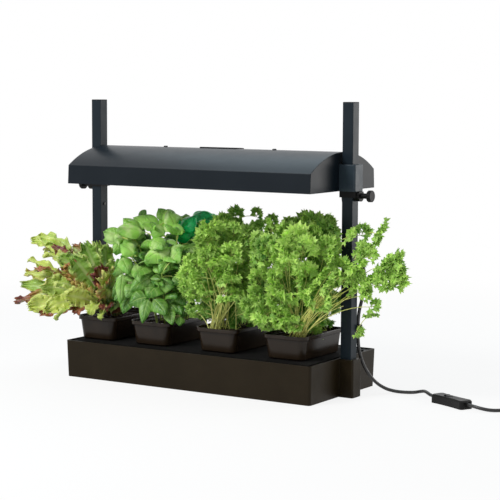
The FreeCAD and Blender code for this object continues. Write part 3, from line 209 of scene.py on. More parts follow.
def lead(name, points):
    """A round cord on one smooth curve through its route."""
    curve = bpy.data.curves.new(name, "CURVE")
    curve.dimensions, curve.resolution_u, curve.use_fill_caps = "3D", 8, True
    spline = curve.splines.new("NURBS")
    spline.points.add(len(points) - 1)
    for point, place in zip(spline.points, points):
        point.co = (*place, 1)
    spline.order_u, spline.use_endpoint_u = 3, True
    curve.materials.append(jacket.material)
    return placed(name, curve)


def baked(piece, name=None):
    """A new plain mesh of what a curve or a modifier gives."""
    mesh = bpy.data.meshes.new_from_object(piece.evaluated_get(bpy.context.evaluated_depsgraph_get()))
    return placed(name or piece.name + "_made", mesh)


def on_switch(along, height):
    """A point over the table, measured along the switch from its middle."""
    return tuple(switch_centre + switch_way * along + Vector((0, 0, height)))


jacket = clouded("cord_jacket", 60.0, tint(24, 23, 23), tint(40, 38, 37), Specular_IOR_Level=0.5)
jacket.gloss(jacket.noise(120.0, 2.0), 0.34, 0.5)
jacket.relief(jacket.noise(900.0, 2.0), 0.00004)
cord_radius = 0.0035
switch_turn = math.radians(-25)
switch_way = Vector((math.cos(switch_turn), math.sin(switch_turn), 0))
switch_centre = Vector((0.5402, 0.0304, 0))
clip_place = (0.331, 0.0202, 0.142)

hanging = lead("hanging_line", [(0.286, 0.0305, 0.4304), (0.286, 0.0305, 0.404), (0.295, 0.033, 0.366),
                                (0.316, 0.033, 0.32), (0.336, 0.0285, 0.28), (0.3435, 0.0245, 0.24),
                                (0.3395, 0.0218, 0.202), (0.331, 0.0202, 0.169), clip_place])
bpy.context.view_layer.update()
hanging_line = [tuple(v.co) for v in baked(hanging, "hanging_route").data.vertices]
bpy.data.objects.remove(bpy.data.objects["hanging_route"])
hanging.data.bevel_depth, hanging.data.bevel_resolution = cord_radius, 4
bpy.context.view_layer.update()
lamp_lead = baked(hanging, "lamp_lead")
bpy.data.objects.remove(hanging)
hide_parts("hood_cord")
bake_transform(lamp_lead)

table_lead = lead("table_lead", [clip_place, (0.331, 0.0202, 0.116), (0.3328, 0.0235, 0.09), (0.338, 0.03, 0.065),
                                 (0.3465, 0.041, 0.0415), (0.357, 0.056, 0.022), (0.371, 0.072, 0.009),
                                 (0.389, 0.0825, 0.004), (0.409, 0.0865, 0.0038), (0.428, 0.09, 0.005),
                                 (0.444, 0.0875, 0.0095), (0.4575, 0.078, 0.0126), (0.4695, 0.0665, 0.012),
                                 on_switch(-0.0655, 0.0096), on_switch(-0.051, 0.0096)])
table_lead.data.bevel_depth, table_lead.data.bevel_resolution = cord_radius, 4
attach(table_lead, "base")
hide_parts("floor_cord")

# The switch is a small two-part case with a rocker, and the plug is moulded on the cord's end.
# Between them the rest of the cord is wound into two flat layers, and a rubber band ties it.
dress(moulded("case_plastic", tint(30, 29, 29), roughness=0.36, soften=0.0006),
      "switch_base", "switch_cover", "plug_body")
dress(moulded("rocker_plastic", tint(18, 18, 18), roughness=0.28, soften=0.0005), "switch_rocker")
dress(moulded("bushing_rubber", tint(24, 23, 23), roughness=0.55, soften=0.0004), "switch_bushings", "coil_tie")
clouded("contact_brass", 150.0, (0.62, 0.45, 0.2, 1), (0.8, 0.62, 0.32, 1), "switch_contacts", "plug_pins",
        polish=(400.0, 0.24, 0.4), Metallic=1.0)

coil_centre, coil_outer, coil_pitch, coil_turns, coil_rest = (0.719, 0.024), 0.0475, 0.0076, 2.25, 0.0049
coil_start, coil_step, crossing_turn = 135, 15, 180
layer_turn = 360 * coil_turns


def coil_place(turned):
    """Where the coil's middle line is after so many degrees: inwards, over itself, and outwards again."""
    inner = coil_outer - coil_pitch * coil_turns
    radius, height = coil_outer - coil_pitch * turned / 360, coil_rest
    if turned > layer_turn + crossing_turn:
        radius, height = inner + coil_pitch * (turned - layer_turn - crossing_turn) / 360, coil_rest + coil_pitch
    elif turned > layer_turn:
        radius = inner - 0.0012 * math.sin(math.radians(turned - layer_turn))
        height = coil_rest + coil_pitch * (1 - math.cos(math.radians(turned - layer_turn))) / 2
    at = math.radians(coil_start - turned)
    return (coil_centre[0] + radius * math.cos(at), coil_centre[1] + radius * math.sin(at), height)


coil_points = [coil_place(turned) for turned in range(0, int(2 * layer_turn) + crossing_turn + 1, coil_step)]
lead_in, lead_out = Vector(coil_points[0]), Vector(coil_points[-1])
way_in = Vector((0.7071, 0.7071, 0))
plug_turn = math.radians(46.46)
plug_way = Vector((math.cos(plug_turn), math.sin(plug_turn), 0))
drop_to_plug = ((0.007, 0.0125), (0.018, 0.0124), (0.029, 0.0094), (0.040, 0.0073), (0.049, 0.007), (0.056, 0.007))
tail = [on_switch(0.051, 0.0096), on_switch(0.066, 0.0096), (0.617, 0.0007, 0.0072), (0.6332, 0.0054, 0.0046),
        (0.6468, 0.0159, 0.0038), (0.6587, 0.0289, 0.0041), tuple(lead_in - way_in * 0.021),
        tuple(lead_in - way_in * 0.007), *coil_points]
tail += [(lead_out.x + plug_way.x * run, lead_out.y + plug_way.y * run, height) for run, height in drop_to_plug]
coiled_lead = lead("coiled_lead", tail)
coiled_lead.data.bevel_depth, coiled_lead.data.bevel_resolution, coiled_lead.data.resolution_u = cord_radius, 3, 3
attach(coiled_lead, "base")
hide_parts("tail_cord", "cord_coil")


# The floor is a plain white table top. It shows as white to the camera and keeps the garden's soft shadow.
# Two soft boxes, one behind over the hood and one behind to the right, and a lamp from the front left light it.
def seen_directly(recipe):
    """1 for what the camera sees, straight or in something shiny or clear, and 0 for the light on the garden."""
    straight, mirrored, through = (recipe.node("ShaderNodeLightPath", out=ray)
                                   for ray in ("Is Camera Ray", "Is Glossy Ray", "Is Transmission Ray"))
    rays = straight + mirrored + through
    return rays.math("MINIMUM", rays, 1.0)


def drawn(name, points, faces=(), edges=(), material=None, **marks):
    """A new mesh, which carries a number or a direction at each point for every mark."""
    mesh = bpy.data.meshes.new(name)
    mesh.from_pydata(points, edges, faces)
    for key, values in marks.items():
        values = np.asarray(values, np.float32)
        kind, field = ("FLOAT_VECTOR", "vector") if values.ndim == 2 else ("FLOAT", "value")
        mesh.attributes.new(key, kind, "POINT").data.foreach_set(field, values.reshape(-1))
    if material:
        mesh.materials.append(material)
    return placed(name, mesh)


table_half, near, far = 9, 0.7, 2.2
white = bpy.data.materials.new("table_white")
white.use_nodes = True
white.node_tree.nodes.remove(white.node_tree.nodes["Principled BSDF"])
table_top = Recipe(white.node_tree)
distance = table_top.node("ShaderNodeVectorMath", {"operation": "LENGTH"},
                          {0: table_top.node("ShaderNodeTexCoord", out="Object")}, out="Value")
paper = table_top.node("ShaderNodeBsdfDiffuse", {}, {"Color": (0.86, 0.86, 0.86, 1)})
glow = table_top.node("ShaderNodeEmission", {}, {"Color": (1, 1, 1, 1), "Strength": 1.0})
whiteness = seen_directly(table_top) * distance.fade(near, far, 0.84, 1.0)
lit = table_top.node("ShaderNodeMixShader", {}, {0: whiteness, 1: paper, 2: glow})
table_top.tree.links.new(lit.socket, table_top.tree.nodes["Material Output"].inputs["Surface"])
floor = drawn("floor", [(x * table_half, y * table_half, 0) for x, y in ((-1, -1), (1, -1), (1, 1), (-1, 1))],
              [(0, 1, 2, 3)], material=white)

world = bpy.data.worlds.new("studio")
world.use_nodes = True
bpy.context.scene.world = world
room = Recipe(world.node_tree)
ambient = room.node("ShaderNodeBackground", {}, {"Color": (1, 1, 1, 1), "Strength": 0.42})
backdrop = room.node("ShaderNodeBackground", {}, {"Color": (1, 1, 1, 1), "Strength": 1.0})
around = room.node("ShaderNodeMixShader", {}, {0: seen_directly(room), 1: ambient, 2: backdrop})
room.tree.links.new(around.socket, room.tree.nodes["World Output"].inputs["Surface"])

# name, place, what it is aimed at, side in metres, watts, colour
studio_lamps = (("over_hood", (-0.3, 0.8, 2.0), (0, 0, 0.4), 1.6, 12.0, (0.62, 0.86, 1.0)),
                ("right_side", (1.7, 1.7, 0.8), (0.2, 0, 0.25), 1.3, 20.0, (1.0, 0.98, 0.95)),
                ("front_left", (-0.8, -1.9, 2.0), (0, 0, 0.2), 1.0, 50.0, (1.0, 1.0, 1.0)))
for name, place, target, size, watts, colour in studio_lamps:
    lamp = bpy.data.lights.new(name, "AREA")
    lamp.shape, lamp.size, lamp.energy, lamp.color = "SQUARE", size, watts, colour
    box = placed(name, lamp)
    box.location = place
    box.rotation_euler = (Vector(target) - Vector(place)).to_track_quat("-Z", "Y").to_euler()

# The tray is one injection moulding in brown-black plastic with a fine grain, and a post socket on each end.
# The platform inside it is the same moulding grade, and stands on its own legs in the water.
dress(moulded("tray_plastic", tint(33, 26, 14), grain=0.00002, soften=0.0016, shine=0.11), "reservoir_tray")
dress(moulded("platform_plastic", tint(20, 19, 19), roughness=0.5, shine=0.15), "growing_platform")

# The capillary mat is dark needled felt, 3 mm thick, laid over the platform.
# It is cut in one piece, and its two ends hang through slots as wicks.
felt = Finish("felt", Specular_IOR_Level=0.08)
fibres = felt.noise(700.0, 6.0, 0.75)
felt.colour(fibres.fade(0.4, 0.62), tint(7, 7, 7), tint(27, 26, 25))
felt.drive("Roughness", fibres.fade(0.2, 0.8, 0.9, 1.0))
felt.relief(fibres, 0.0006)
felt_thickness, felt_sink, felt_sway = 0.003, 0.0002, 0.00012
mat_low, mat_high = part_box("capillary_mat")
mat_under = mat_high.z - felt_thickness
across, along = np.linspace(mat_low.x, mat_high.x, 120), np.linspace(mat_low.y, mat_high.y, 48)
sway = np.random.default_rng(5).normal(0, felt_sway, (len(across), len(along)))
verts = [(x, y, mat_high.z - felt_sink + sway[i, j]) for i, x in enumerate(across) for j, y in enumerate(along)]
verts += [(x, y, mat_under) for x in across for y in along]
count, rows = len(across) * len(along), len(along)
faces = []
for i in range(len(across) - 1):
    for j in range(rows - 1):
        a = i * rows + j
        faces += [(a, a + rows, a + rows + 1, a + 1),
                  (count + a, count + a + 1, count + a + rows + 1, count + a + rows)]
rim = [i * rows for i in range(len(across))] + [(len(across) - 1) * rows + j for j in range(1, rows)]
rim += [i * rows + rows - 1 for i in range(len(across) - 2, -1, -1)] + list(range(rows - 2, 0, -1))
faces += [(a, count + a, count + b, b) for a, b in zip(rim, rim[1:] + rim[:1])]
wick_half_width, wick_half_thickness = 0.048, 0.0015
for wick_x in (-0.285, 0.285):
    first, x0, x1 = len(verts), wick_x - wick_half_thickness, wick_x + wick_half_thickness
    corners = ((x0, -wick_half_width), (x1, -wick_half_width), (x1, wick_half_width), (x0, wick_half_width))
    verts += [(x, y, z) for z in (mat_low.z, mat_under) for x, y in corners]
    faces += [tuple(first + k for k in face) for face in ((3, 2, 1, 0), (4, 5, 6, 7), (0, 1, 5, 4), (1, 2, 6, 5),
                                                          (2, 3, 7, 6), (3, 0, 4, 7))]
felt_mat = drawn("felt_mat", verts, faces, material=felt.material)
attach(felt_mat, "base")
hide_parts("capillary_mat")

# The posts are square tubes with a satin black coat, closed by plastic caps, and stand in the tray's sockets.
# A small screw head on each inner face stops the hood, and a moulded clip holds the cord on the right post.
dress(moulded("post_coat", tint(26, 35, 42), roughness=0.32, grain=0.00001, soften=0.0008, patchy=0.03),
      "left_post", "right_post")
dress(moulded("cap_plastic", tint(24, 25, 27), roughness=0.45), "left_post_cap", "right_post_cap", "cord_clip")
clouded("plated_steel", 80.0, (0.42, 0.42, 0.43, 1), (0.62, 0.62, 0.61, 1), "sleeve_screws", "switch_screws",
        "left_clamp_screw", "right_clamp_screw", polish=(300.0, 0.28, 0.42), Metallic=1.0)

# The hood is one vacuum-formed shell in slate-black plastic with a fine even grain, arched over the lamp.
# A slotted strip covers the warm air slots on its ridge, and black sleeves and collars guide it on the posts.
dress(moulded("hood_plastic", tint(11, 20, 27), roughness=0.36, grain=0.00001, soften=0.0022, wear=0.08,
              shine=0.16, patchy=0.012), "hood_shell")
dress(moulded("guide_plastic", tint(44, 55, 63), roughness=0.34, grain=0.00001, soften=0.001, shine=0.2),
      "left_sleeve", "right_sleeve")
dress(moulded("dark_plastic", tint(16, 16, 17), roughness=0.4, soften=0.0006), "left_clamp_collar",
      "right_clamp_collar", "vent_cover", "left_clamp_knob", "right_clamp_knob", "terminal_box", "cord_gland")
clouded("blackened_steel", 200.0, (0.03, 0.03, 0.03, 1), (0.09, 0.09, 0.09, 1), "fixture_screws",
        "left_stop_screw", "right_stop_screw", Metallic=1.0, Roughness=0.45)

# The lamp is a straight fluorescent tube between two white holders, under a white enamelled batten
# and a folded reflector of bright rolled aluminium. Its ballast board sits inside the batten.
enamel = clouded("white_enamel", 14.0, tint(222, 222, 218), tint(236, 236, 232), "lamp_batten", "fixture_clips",
                 "left_lampholder", "right_lampholder", Roughness=0.3)
enamel.relief(enamel.noise(500.0), 0.00003, 0.0006)
bright = Finish("rolled_aluminium", Metallic=1.0)
rolled = bright.node("ShaderNodeMapping", {}, {"Vector": bright.place(), "Scale": (4.0, 900.0, 900.0)})
bright.colour(bright.noise(1.0, where=rolled), (0.78, 0.79, 0.8, 1), (0.9, 0.9, 0.91, 1))
bright.gloss(bright.noise(1.0, where=rolled), 0.14, 0.26)
dress(bright.material, "reflector", "reflector_rivets", "lamp_tube_caps")
clouded("phosphor_glass", 30.0, tint(238, 238, 232), tint(247, 247, 244), "lamp_tube", Roughness=0.12,
        Coat_Weight=0.6, Coat_Roughness=0.03)
board = Finish("circuit_board", Roughness=0.4)
board.colour(board.noise(90.0).fade(0.45, 0.55), tint(70, 80, 40), tint(120, 105, 60))
dress(board.material, "ballast_board")


# The pots are thin brown-black mouldings with a turned-out rim, filled with dark soil and bark.
# The soil is pressed in by hand, and stands a little higher in the middle.
class Grower(Recipe):
    """A tree of geometry nodes with named sizes. What it ends in is made real and gets its material."""

    def __init__(self, name, sizes):
        super().__init__(bpy.data.node_groups.new(name, "GeometryNodeTree"))
        socket = self.tree.interface.new_socket
        socket("Geometry", in_out="INPUT", socket_type="NodeSocketGeometry")
        for label, value in sizes.items():
            kind = "NodeSocketInt" if isinstance(value, int) else "NodeSocketFloat"
            socket(label, in_out="INPUT", socket_type=kind).default_value = value
        socket("Material", in_out="INPUT", socket_type="NodeSocketMaterial")
        socket("Geometry", in_out="OUTPUT", socket_type="NodeSocketGeometry")
        self.given = {out.name: Pattern(self, out) for out in self.tree.nodes.new("NodeGroupInput").outputs}

    def mark(self, name, kind="FLOAT"):
        """What each point carries under a name."""
        return self.node("GeometryNodeInputNamedAttribute", {"data_type": kind}, {"Name": name}, out="Attribute")

    def end(self, shape):
        real = self.node("GeometryNodeRealizeInstances", {}, {"Geometry": shape})
        painted = self.node("GeometryNodeSetMaterial", {}, {"Geometry": real, "Material": self.given["Material"]})
        self.tree.links.new(painted.socket, self.tree.nodes.new("NodeGroupOutput").inputs["Geometry"])

    def grow(self, piece, name, **sizes):
        """Runs the tree on a piece and gives the plain mesh that comes out."""
        modifier = piece.modifiers.new("grower", "NODES")
        modifier.node_group = self.tree
        for item in self.tree.interface.items_tree:
            if item.in_out == "INPUT" and item.name in sizes:
                modifier[item.identifier] = sizes[item.name]
        bpy.context.view_layer.update()
        made = baked(piece, name)
        bpy.data.objects.remove(piece)
        return made


dress(moulded("pot_plastic", tint(37, 28, 19), roughness=0.22, grain=0.000004, soften=0.003, wear=0.2, shine=0.24,
              patchy=0.02), "pot_1", "pot_2", "pot_3", "pot_4")
earth = Finish("potting_soil", Specular_IOR_Level=0.25)
crumbs = earth.noise(420.0, 5.0, 0.7)
earth.colour(crumbs.fade(0.38, 0.66), tint(18, 13, 10), tint(66, 48, 36))
earth.drive("Roughness", crumbs.fade(0.2, 0.8, 0.8, 1.0))
earth.relief(crumbs, 0.0008)

soil_heaper = Grower("heaped_soil", {"Clods per square metre": 42000.0, "Largest clod": 0.0021, "Seed": 3})
bed, seed = soil_heaper.given["Geometry"], soil_heaper.given["Seed"]
spots = soil_heaper.node("GeometryNodeDistributePointsOnFaces", {},
                         {"Mesh": bed, "Density": soil_heaper.given["Clods per square metre"], "Seed": seed})
clod = soil_heaper.node("GeometryNodeMeshIcoSphere", {},
                        {"Subdivisions": 2, "Radius": soil_heaper.given["Largest clod"]})
spin = soil_heaper.node("FunctionNodeRandomValue", {"data_type": "FLOAT_VECTOR"}, {"Max": (6.28, 6.28, 6.28)})
size = soil_heaper.node("FunctionNodeRandomValue", {"data_type": "FLOAT_VECTOR"},
                        {"Min": (0.3, 0.3, 0.25), "Max": (1.0, 0.8, 0.7), "Seed": seed})
clods = soil_heaper.node("GeometryNodeInstanceOnPoints", {},
                         {"Points": spots, "Instance": clod, "Rotation": spin, "Scale": size})
soil_heaper.end(soil_heaper.node("GeometryNodeJoinGeometry", {}, {"Geometry": [clods, bed]}))

sides, wall_gap, squareness = 48, 0.0012, 6
for number in (1, 2, 3, 4):
    low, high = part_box(f"soil_{number}")
    middle = (low + high) / 2
    ring = []
    for k in range(sides):
        turn = 2 * math.pi * k / sides
        x, y = math.cos(turn), math.sin(turn)
        reach = (abs(x) ** squareness + abs(y) ** squareness) ** (-1 / squareness)
        ring.append((x * reach * ((high.x - low.x) / 2 - wall_gap), y * reach * ((high.y - low.y) / 2 - wall_gap)))
    layers = ((0.9, low.z + 0.001), (1.0, high.z - 0.0022), (0.75, high.z - 0.0005), (0.4, high.z + 0.001))
    verts = [(middle.x + x * scale, middle.y + y * scale, height) for scale, height in layers for x, y in ring]
    faces = [(sides * layer + k, sides * layer + (k + 1) % sides, sides * (layer + 1) + (k + 1) % sides,
              sides * (layer + 1) + k) for layer in range(3) for k in range(sides)]
    faces += [tuple(range(sides - 1, -1, -1)), tuple(range(3 * sides, 4 * sides))]
    soil = soil_heaper.grow(drawn(f"soil_bed_{number}", verts, faces), f"soil_heap_{number}",
                            Seed=number, Material=earth.material)
    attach(soil, f"planted_pot_{number}")
    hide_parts(f"soil_{number}")


# The lettuce is a loose-leaf plant: long leaves with a pale rib and frilled edges, green, bronze and burgundy,
# that rise from one crown and lean out over the tray's left end. Each leaf is a thin closed sheet.
def mm(*place):
    """A place in millimetres as metres."""
    return np.array(place) / 1000


def unit(way):
    return way / np.linalg.norm(way)


def bowed(start, bend, end, u):
    """The point at u of a smooth bow from start to end."""
    return (1 - u) ** 2 * start + 2 * u * (1 - u) * bend + u ** 2 * end


def within(random, *ranges):
    """A random place inside a box."""
    return np.array([random.uniform(low, high) for low, high in ranges])


class Foliage:
    """Collects leaf blades into one mesh, with what each point knows about its leaf."""

    def __init__(self, seed, outline, relief):
        self.points, self.faces, self.marks, self.count = [], [], {}, 0
        self.outline, self.relief, self.random = outline, relief, np.random.default_rng(seed)

    def blade(self, foot, tip, lift, width, roll, grid, sag=0.0, facing=None, **marks):
        rows, columns = grid
        foot, tip = np.array(foot, float), np.array(tip, float)
        u = np.linspace(0, 1, rows)[:, None]
        v = np.linspace(-1, 1, columns)[None, :]
        spine = bowed(foot, (foot + tip) / 2 + np.array([0, 0, lift]), tip, u)
        spine[:, 2] -= sag * u[:, 0] ** 3
        tangent = np.gradient(spine, axis=0)
        tangent /= np.linalg.norm(tangent, axis=1)[:, None]
        if facing is None:
            facing = np.array([0.0, 0.0, 1.0]) + 0.35 * (tip - foot) / (np.linalg.norm(tip - foot) + 1e-9)
        side = np.cross(tangent, np.array(facing, float))
        side /= np.linalg.norm(side, axis=1)[:, None] + 1e-9
        normal = np.cross(side, tangent)
        side, normal = (side * math.cos(roll) + normal * math.sin(roll),
                        normal * math.cos(roll) - side * math.sin(roll))
        raised, shifted = self.relief(u, v, self.random)
        across = width * self.outline(u) / 2 * v * np.ones_like(u)
        sheet = spine[:, None, :]
        for amount, way in ((across, side), (raised * width, normal), (shifted * width, tangent)):
            sheet = sheet + amount[..., None] * way[:, None, :]
        self.points.append(sheet.reshape(-1, 3))
        cell = (np.arange(rows - 1)[:, None] * columns + np.arange(columns - 1)[None, :]).reshape(-1) + self.count
        self.faces.append(np.stack([cell, cell + 1, cell + columns + 1, cell + columns], 1))
        for key, values in {"along": u, "across": v, **marks}.items():
            self.marks.setdefault(key, []).append(np.broadcast_to(values, grid).astype(float).reshape(-1))
        self.count += rows * columns

    def piece(self, name, material, thickness):
        marks = {key: np.concatenate(values) for key, values in self.marks.items()}
        sheet = drawn(name + "_sheet", np.concatenate(self.points).tolist(), np.concatenate(self.faces).tolist(),
                      material=material, **marks)
        shell = sheet.modifiers.new("thickness", "SOLIDIFY")
        shell.thickness, shell.offset = thickness, 0.0
        bpy.context.view_layer.update()
        made = baked(sheet, name)
        bpy.data.objects.remove(sheet)
        made.data.shade_smooth()
        return made


def frilled(u):
    """How wide a lettuce leaf is from foot to tip."""
    blade = np.clip((u - 0.16) / 0.5, 0, 1) ** 1.2 * (1 - 0.62 * np.clip((u - 0.74) / 0.26, 0, 1) ** 2)
    return (0.15 + 0.85 * blade) * (1 + 0.15 * np.sin(24 * u) + 0.06 * np.sin(53 * u + 1.0))


def frills(u, v, random):
    """How a lettuce leaf waves, more towards its edge and its tip."""
    waves, phase = random.uniform(3.6, 5.6), random.uniform(0, 6.28, 5)
    circle = 2 * math.pi
    edge = np.abs(v) ** 2.4 * np.clip((u - 0.22) / 0.35, 0, 1)
    raised = 0.15 * edge * np.sin(circle * waves * u + phase[0] + 1.4 * np.sign(v))
    raised += 0.085 * edge * np.sin(circle * 2.6 * waves * u + phase[1]) + 0.12 * np.abs(v) ** 1.5
    raised += 0.12 * np.clip((u - 0.7) / 0.3, 0, 1) ** 2 * np.sin(circle * 1.8 * v + phase[4])
    shifted = 0.10 * edge * np.sin(circle * 1.6 * waves * u + phase[2])
    shifted += 0.09 * np.clip((u - 0.6) / 0.4, 0, 1) * np.sin(circle * 3.2 * v + phase[3])
    return raised + 0.02 * np.sin(11 * u + 5 * v + phase[3]), shifted


leaf = Finish("lettuce_leaf", Specular_IOR_Level=0.4, Subsurface_Weight=0.15, Subsurface_Scale=0.004,
              Subsurface_Radius=(0.6, 1.0, 0.2))
along, across, blush, tone = leaf.mark("along"), abs(leaf.mark("across")), leaf.mark("blush"), leaf.mark("tone")
mottle = leaf.noise(55.0, 4.0, 0.6)
rib = (across + mottle * 0.1).fade(0.08, 0.3, 1.0, 0.0) * along.fade(0.2, 0.95, 1.0, 0.15)
green = leaf.mix(tone, tint(80, 148, 42), tint(204, 218, 108))
green = leaf.mix(mottle.fade(0.35, 0.7) * 0.3, green, tint(124, 160, 60))
# painted shade: each leaf darkens towards its foot, where the leaves of the crown shade one another
green = leaf.mix(along.fade(0.1, 0.45, 0.75, 0.0), green, tint(52, 96, 30))
green = leaf.mix(across.fade(0.6, 1.0) * 0.45, green, tint(226, 236, 146))
burgundy = leaf.mix((mottle + tone * 0.4).fade(0.4, 0.85), tint(98, 38, 48), tint(168, 104, 60))
red = (blush + along * 0.25 + across * 0.25 + mottle * 0.9).fade(1.14, 1.62)
leaf.colour(rib * 0.85, leaf.mix(red, green, burgundy), tint(222, 228, 172))
leaf.gloss(mottle, 0.3, 0.46)
leaf.relief(leaf.noise(260.0, 3.0, 0.6) + rib, 0.0006)

lettuce = Foliage(11, frilled, frills)
random = lettuce.random
long_grid, crown_grid, low_grid = (50, 17), (36, 15), (32, 13)  # points along and across a leaf
to_front = (0.42, -0.7, 0.4)
# foot, tip and width in millimetres, then how red the leaf is and how pale
lettuce_leaves = (
    (-300, -44, 145, -470, -70, 241, 32, 0.2, 0.9), (-303, -41, 147, -470, -60, 283, 29, 0.25, 0.9),
    (-302, -37, 152, -457, -50, 286, 37, 0.15, 0.95), (-293, -43, 151, -403, -66, 275, 29, 1.0, 0.3),
    (-297, -34, 149, -377, -30, 271, 33, 0.7, 0.5), (-268, -48, 149, -319, -60, 286, 40, 0.0, 0.45),
    (-291, -51, 144, -424, -104, 223, 32, 0.7, 0.7), (-293, -51, 143, -466, -100, 187, 29, 0.3, 0.6),
    (-288, -55, 139, -467, -120, 150, 40, 1.1, 0.2), (-279, -58, 140, -415, -140, 147, 41, 0.1, 1.0),
    (-282, -55, 141, -425, -120, 164, 27, 0.6, 0.8), (-275, -58, 137, -358, -150, 141, 37, 0.0, 1.0),
    (-272, -60, 136, -323, -158, 127, 32, 0.0, 1.0), (-265, -58, 138, -337, -150, 207, 46, 0.05, 0.8),
    (-278, -57, 137, -389, -130, 130, 25, 0.9, 0.4), (-263, -57, 141, -320, -130, 226, 54, 0.65, 0.85),
    (-275, -44, 143, -366, -80, 234, 37, 1.0, 0.3), (-268, -48, 146, -358, -100, 251, 49, 0.0, 0.4),
    (-260, -55, 145, -305, -120, 259, 49, 0.0, 0.42), (-266, -44, 149, -231, -56, 240, 40, 0.0, 0.4),
    (-270, -37, 156, -311, -30, 286, 40, 0.0, 0.35), (-260, -51, 145, -258, -92, 241, 40, 1.1, 0.1),
    (-260, -58, 141, -212, -112, 232, 46, 0.35, 0.95), (-255, -60, 137, -212, -122, 204, 46, 0.6, 0.75),
    (-261, -60, 137, -241, -140, 142, 29, 0.2, 0.95), (-251, -61, 140, -212, -136, 134, 25, 0.1, 0.7),
    (-266, -60, 139, -288, -136, 140, 33, 1.2, 0.5), (-250, -60, 142, -212, -124, 151, 33, 1.1, 0.4),
    (-289, -30, 145, -450, -24, 255, 40, 0.5, 0.7), (-279, -48, 146, -409, -90, 254, 40, 0.3, 0.8),
    (-282, -48, 143, -462, -90, 211, 37, 0.45, 0.8), (-263, -58, 143, -273, -140, 201, 44, 0.5, 0.9),
    (-261, -60, 140, -302, -146, 178, 44, 0.2, 0.95), (-277, -51, 141, -391, -120, 186, 44, 0.3, 0.7),
    (-258, -55, 143, -217, -100, 192, 40, 0.15, 0.6), (-262, -46, 150, -263, -58, 284, 36, 0.0, 0.4))
for *place, width, blushed, toned in lettuce_leaves:
    foot, tip = mm(*place[:3]), mm(*place[3:])
    facing = np.array((0.42, -0.7, 0.75)) + random.normal(0, 0.28, 3)
    lettuce.blade(foot, tip, np.linalg.norm(tip - foot) * random.uniform(0.12, 0.5), width / 1000,
                  random.normal(0, 0.4), long_grid, facing=facing, blush=blushed,
                  tone=min(1.0, toned * random.uniform(0.55, 1.2)))
# short leaves fill the crown, at the back and between the long ones, and their low tone makes them darker, as painted
# shade
for k in range(18):
    turn, reach = random.uniform(-1.4, 1.4), random.uniform(0.03, 0.07)
    foot = mm(-250, -20, 126)
    tip = foot + np.array((0.4 * reach * math.sin(turn) + 0.018, reach * math.cos(turn) + 0.01,
                           random.uniform(0.03, 0.14)))
    lettuce.blade(foot, tip, 0.02, random.uniform(0.045, 0.06), random.normal(0, 0.3), crown_grid,
                  blush=random.uniform(0, 0.7), tone=random.uniform(0.1, 0.6))
for k in range(14):
    tip = within(random, (-0.296, -0.222), (-0.09, 0.02), (0.138, 0.200))
    lettuce.blade(mm(-256, -30, 124), tip, 0.02, random.uniform(0.040, 0.052), random.normal(0, 0.4), low_grid,
                  facing=to_front, blush=random.uniform(0.3, 1.2), tone=random.uniform(0.0, 0.5))
# the basil beside it holds back the lettuce's right-hand leaves, so that the two pots slide past each other
lettuce_wall, held_back, leaf_thickness = -0.215, 0.3, 0.0006
for points in lettuce.points:
    points[:, 0] = np.minimum(points[:, 0], lettuce_wall + held_back * (points[:, 0] - lettuce_wall))
lettuce_head = lettuce.piece("lettuce_head", leaf.material, leaf_thickness)
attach(lettuce_head, "planted_pot_1")
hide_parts("lettuce")


# The basil is a bushy plant: upright stems with opposite pairs of smooth, glossy, cupped leaves,
# each pair turned a quarter from the one below, and a tuft of small young leaves at every tip.
def ovate(u):
    """How wide a basil leaf is from foot to tip."""
    blade = np.clip((u - 0.1) / 0.9, 0, 1)
    return 0.035 + blade ** 0.55 * (1 - blade) ** 0.9 / 0.41


def cupped(u, v, random):
    """How a basil leaf cups, with its veins sunk between raised fields."""
    veins = np.cos(2 * math.pi * (5.2 * u - 1.0 * np.abs(v)) + random.uniform(0, 1))
    edge = np.abs(v) ** 2 + 0 * u
    raised = -random.uniform(0.10, 0.26) * edge - 0.04 * np.exp(-(v / 0.12) ** 2)
    raised += 0.022 * veins * np.abs(v) ** 0.5 * (1 - edge) + 0.035 * edge * np.sin(9 * u + random.uniform(0, 6.28))
    return raised, 0.0 * v * u


leaf = Finish("basil_leaf", Specular_IOR_Level=0.38, Subsurface_Weight=0.12, Subsurface_Scale=0.003,
              Subsurface_Radius=(0.5, 1.0, 0.2))
along, across, tone, emerald = leaf.mark("along"), abs(leaf.mark("across")), leaf.mark("tone"), leaf.mark("emerald")
mottle = leaf.noise(70.0, 3.0, 0.55)
vein = (along * 33.0 - across * 6.3).cosine().fade(0.55, 1.0) * across.fade(0.0, 0.2)
rib = across.fade(0.02, 0.09, 1.0, 0.0) + vein * 0.45
green = leaf.mix(tone, tint(20, 76, 18), tint(182, 244, 112))
green = leaf.mix(across.fade(0.2, 1.0) * 0.3, green, tint(150, 206, 84))
green = leaf.mix(mottle.fade(0.3, 0.75) * 0.25, green, tint(86, 152, 44))
# painted highlight: pale patches on the lighter leaves stand in for the glare of the lamps
green = leaf.mix(leaf.noise(34.0, 2.0).fade(0.48, 0.66) * tone * 0.7, green, tint(226, 246, 176))
green = leaf.mix(along.fade(0.55, 1.0) * 0.5, green, tint(40, 122, 24))
# painted light: the leaves marked as backlit turn bright teal, a painted glow of lamp light shining through them
green = leaf.mix(emerald, green, leaf.mix(mottle.fade(0.35, 0.65), tint(0, 158, 80), tint(18, 210, 118)))
leaf.colour(rib * 0.5 * (1.0 - emerald * 0.85), green, tint(186, 226, 122))
leaf.gloss(mottle, 0.24, 0.36)
leaf.relief(leaf.noise(240.0, 3.0, 0.6) - rib, 0.0009)
stalk = Finish("green_stalk", Specular_IOR_Level=0.4)
stalk.colour(stalk.mark("pale"), tint(128, 166, 60), tint(250, 248, 150))
stalk.gloss(stalk.noise(200.0), 0.4, 0.55)

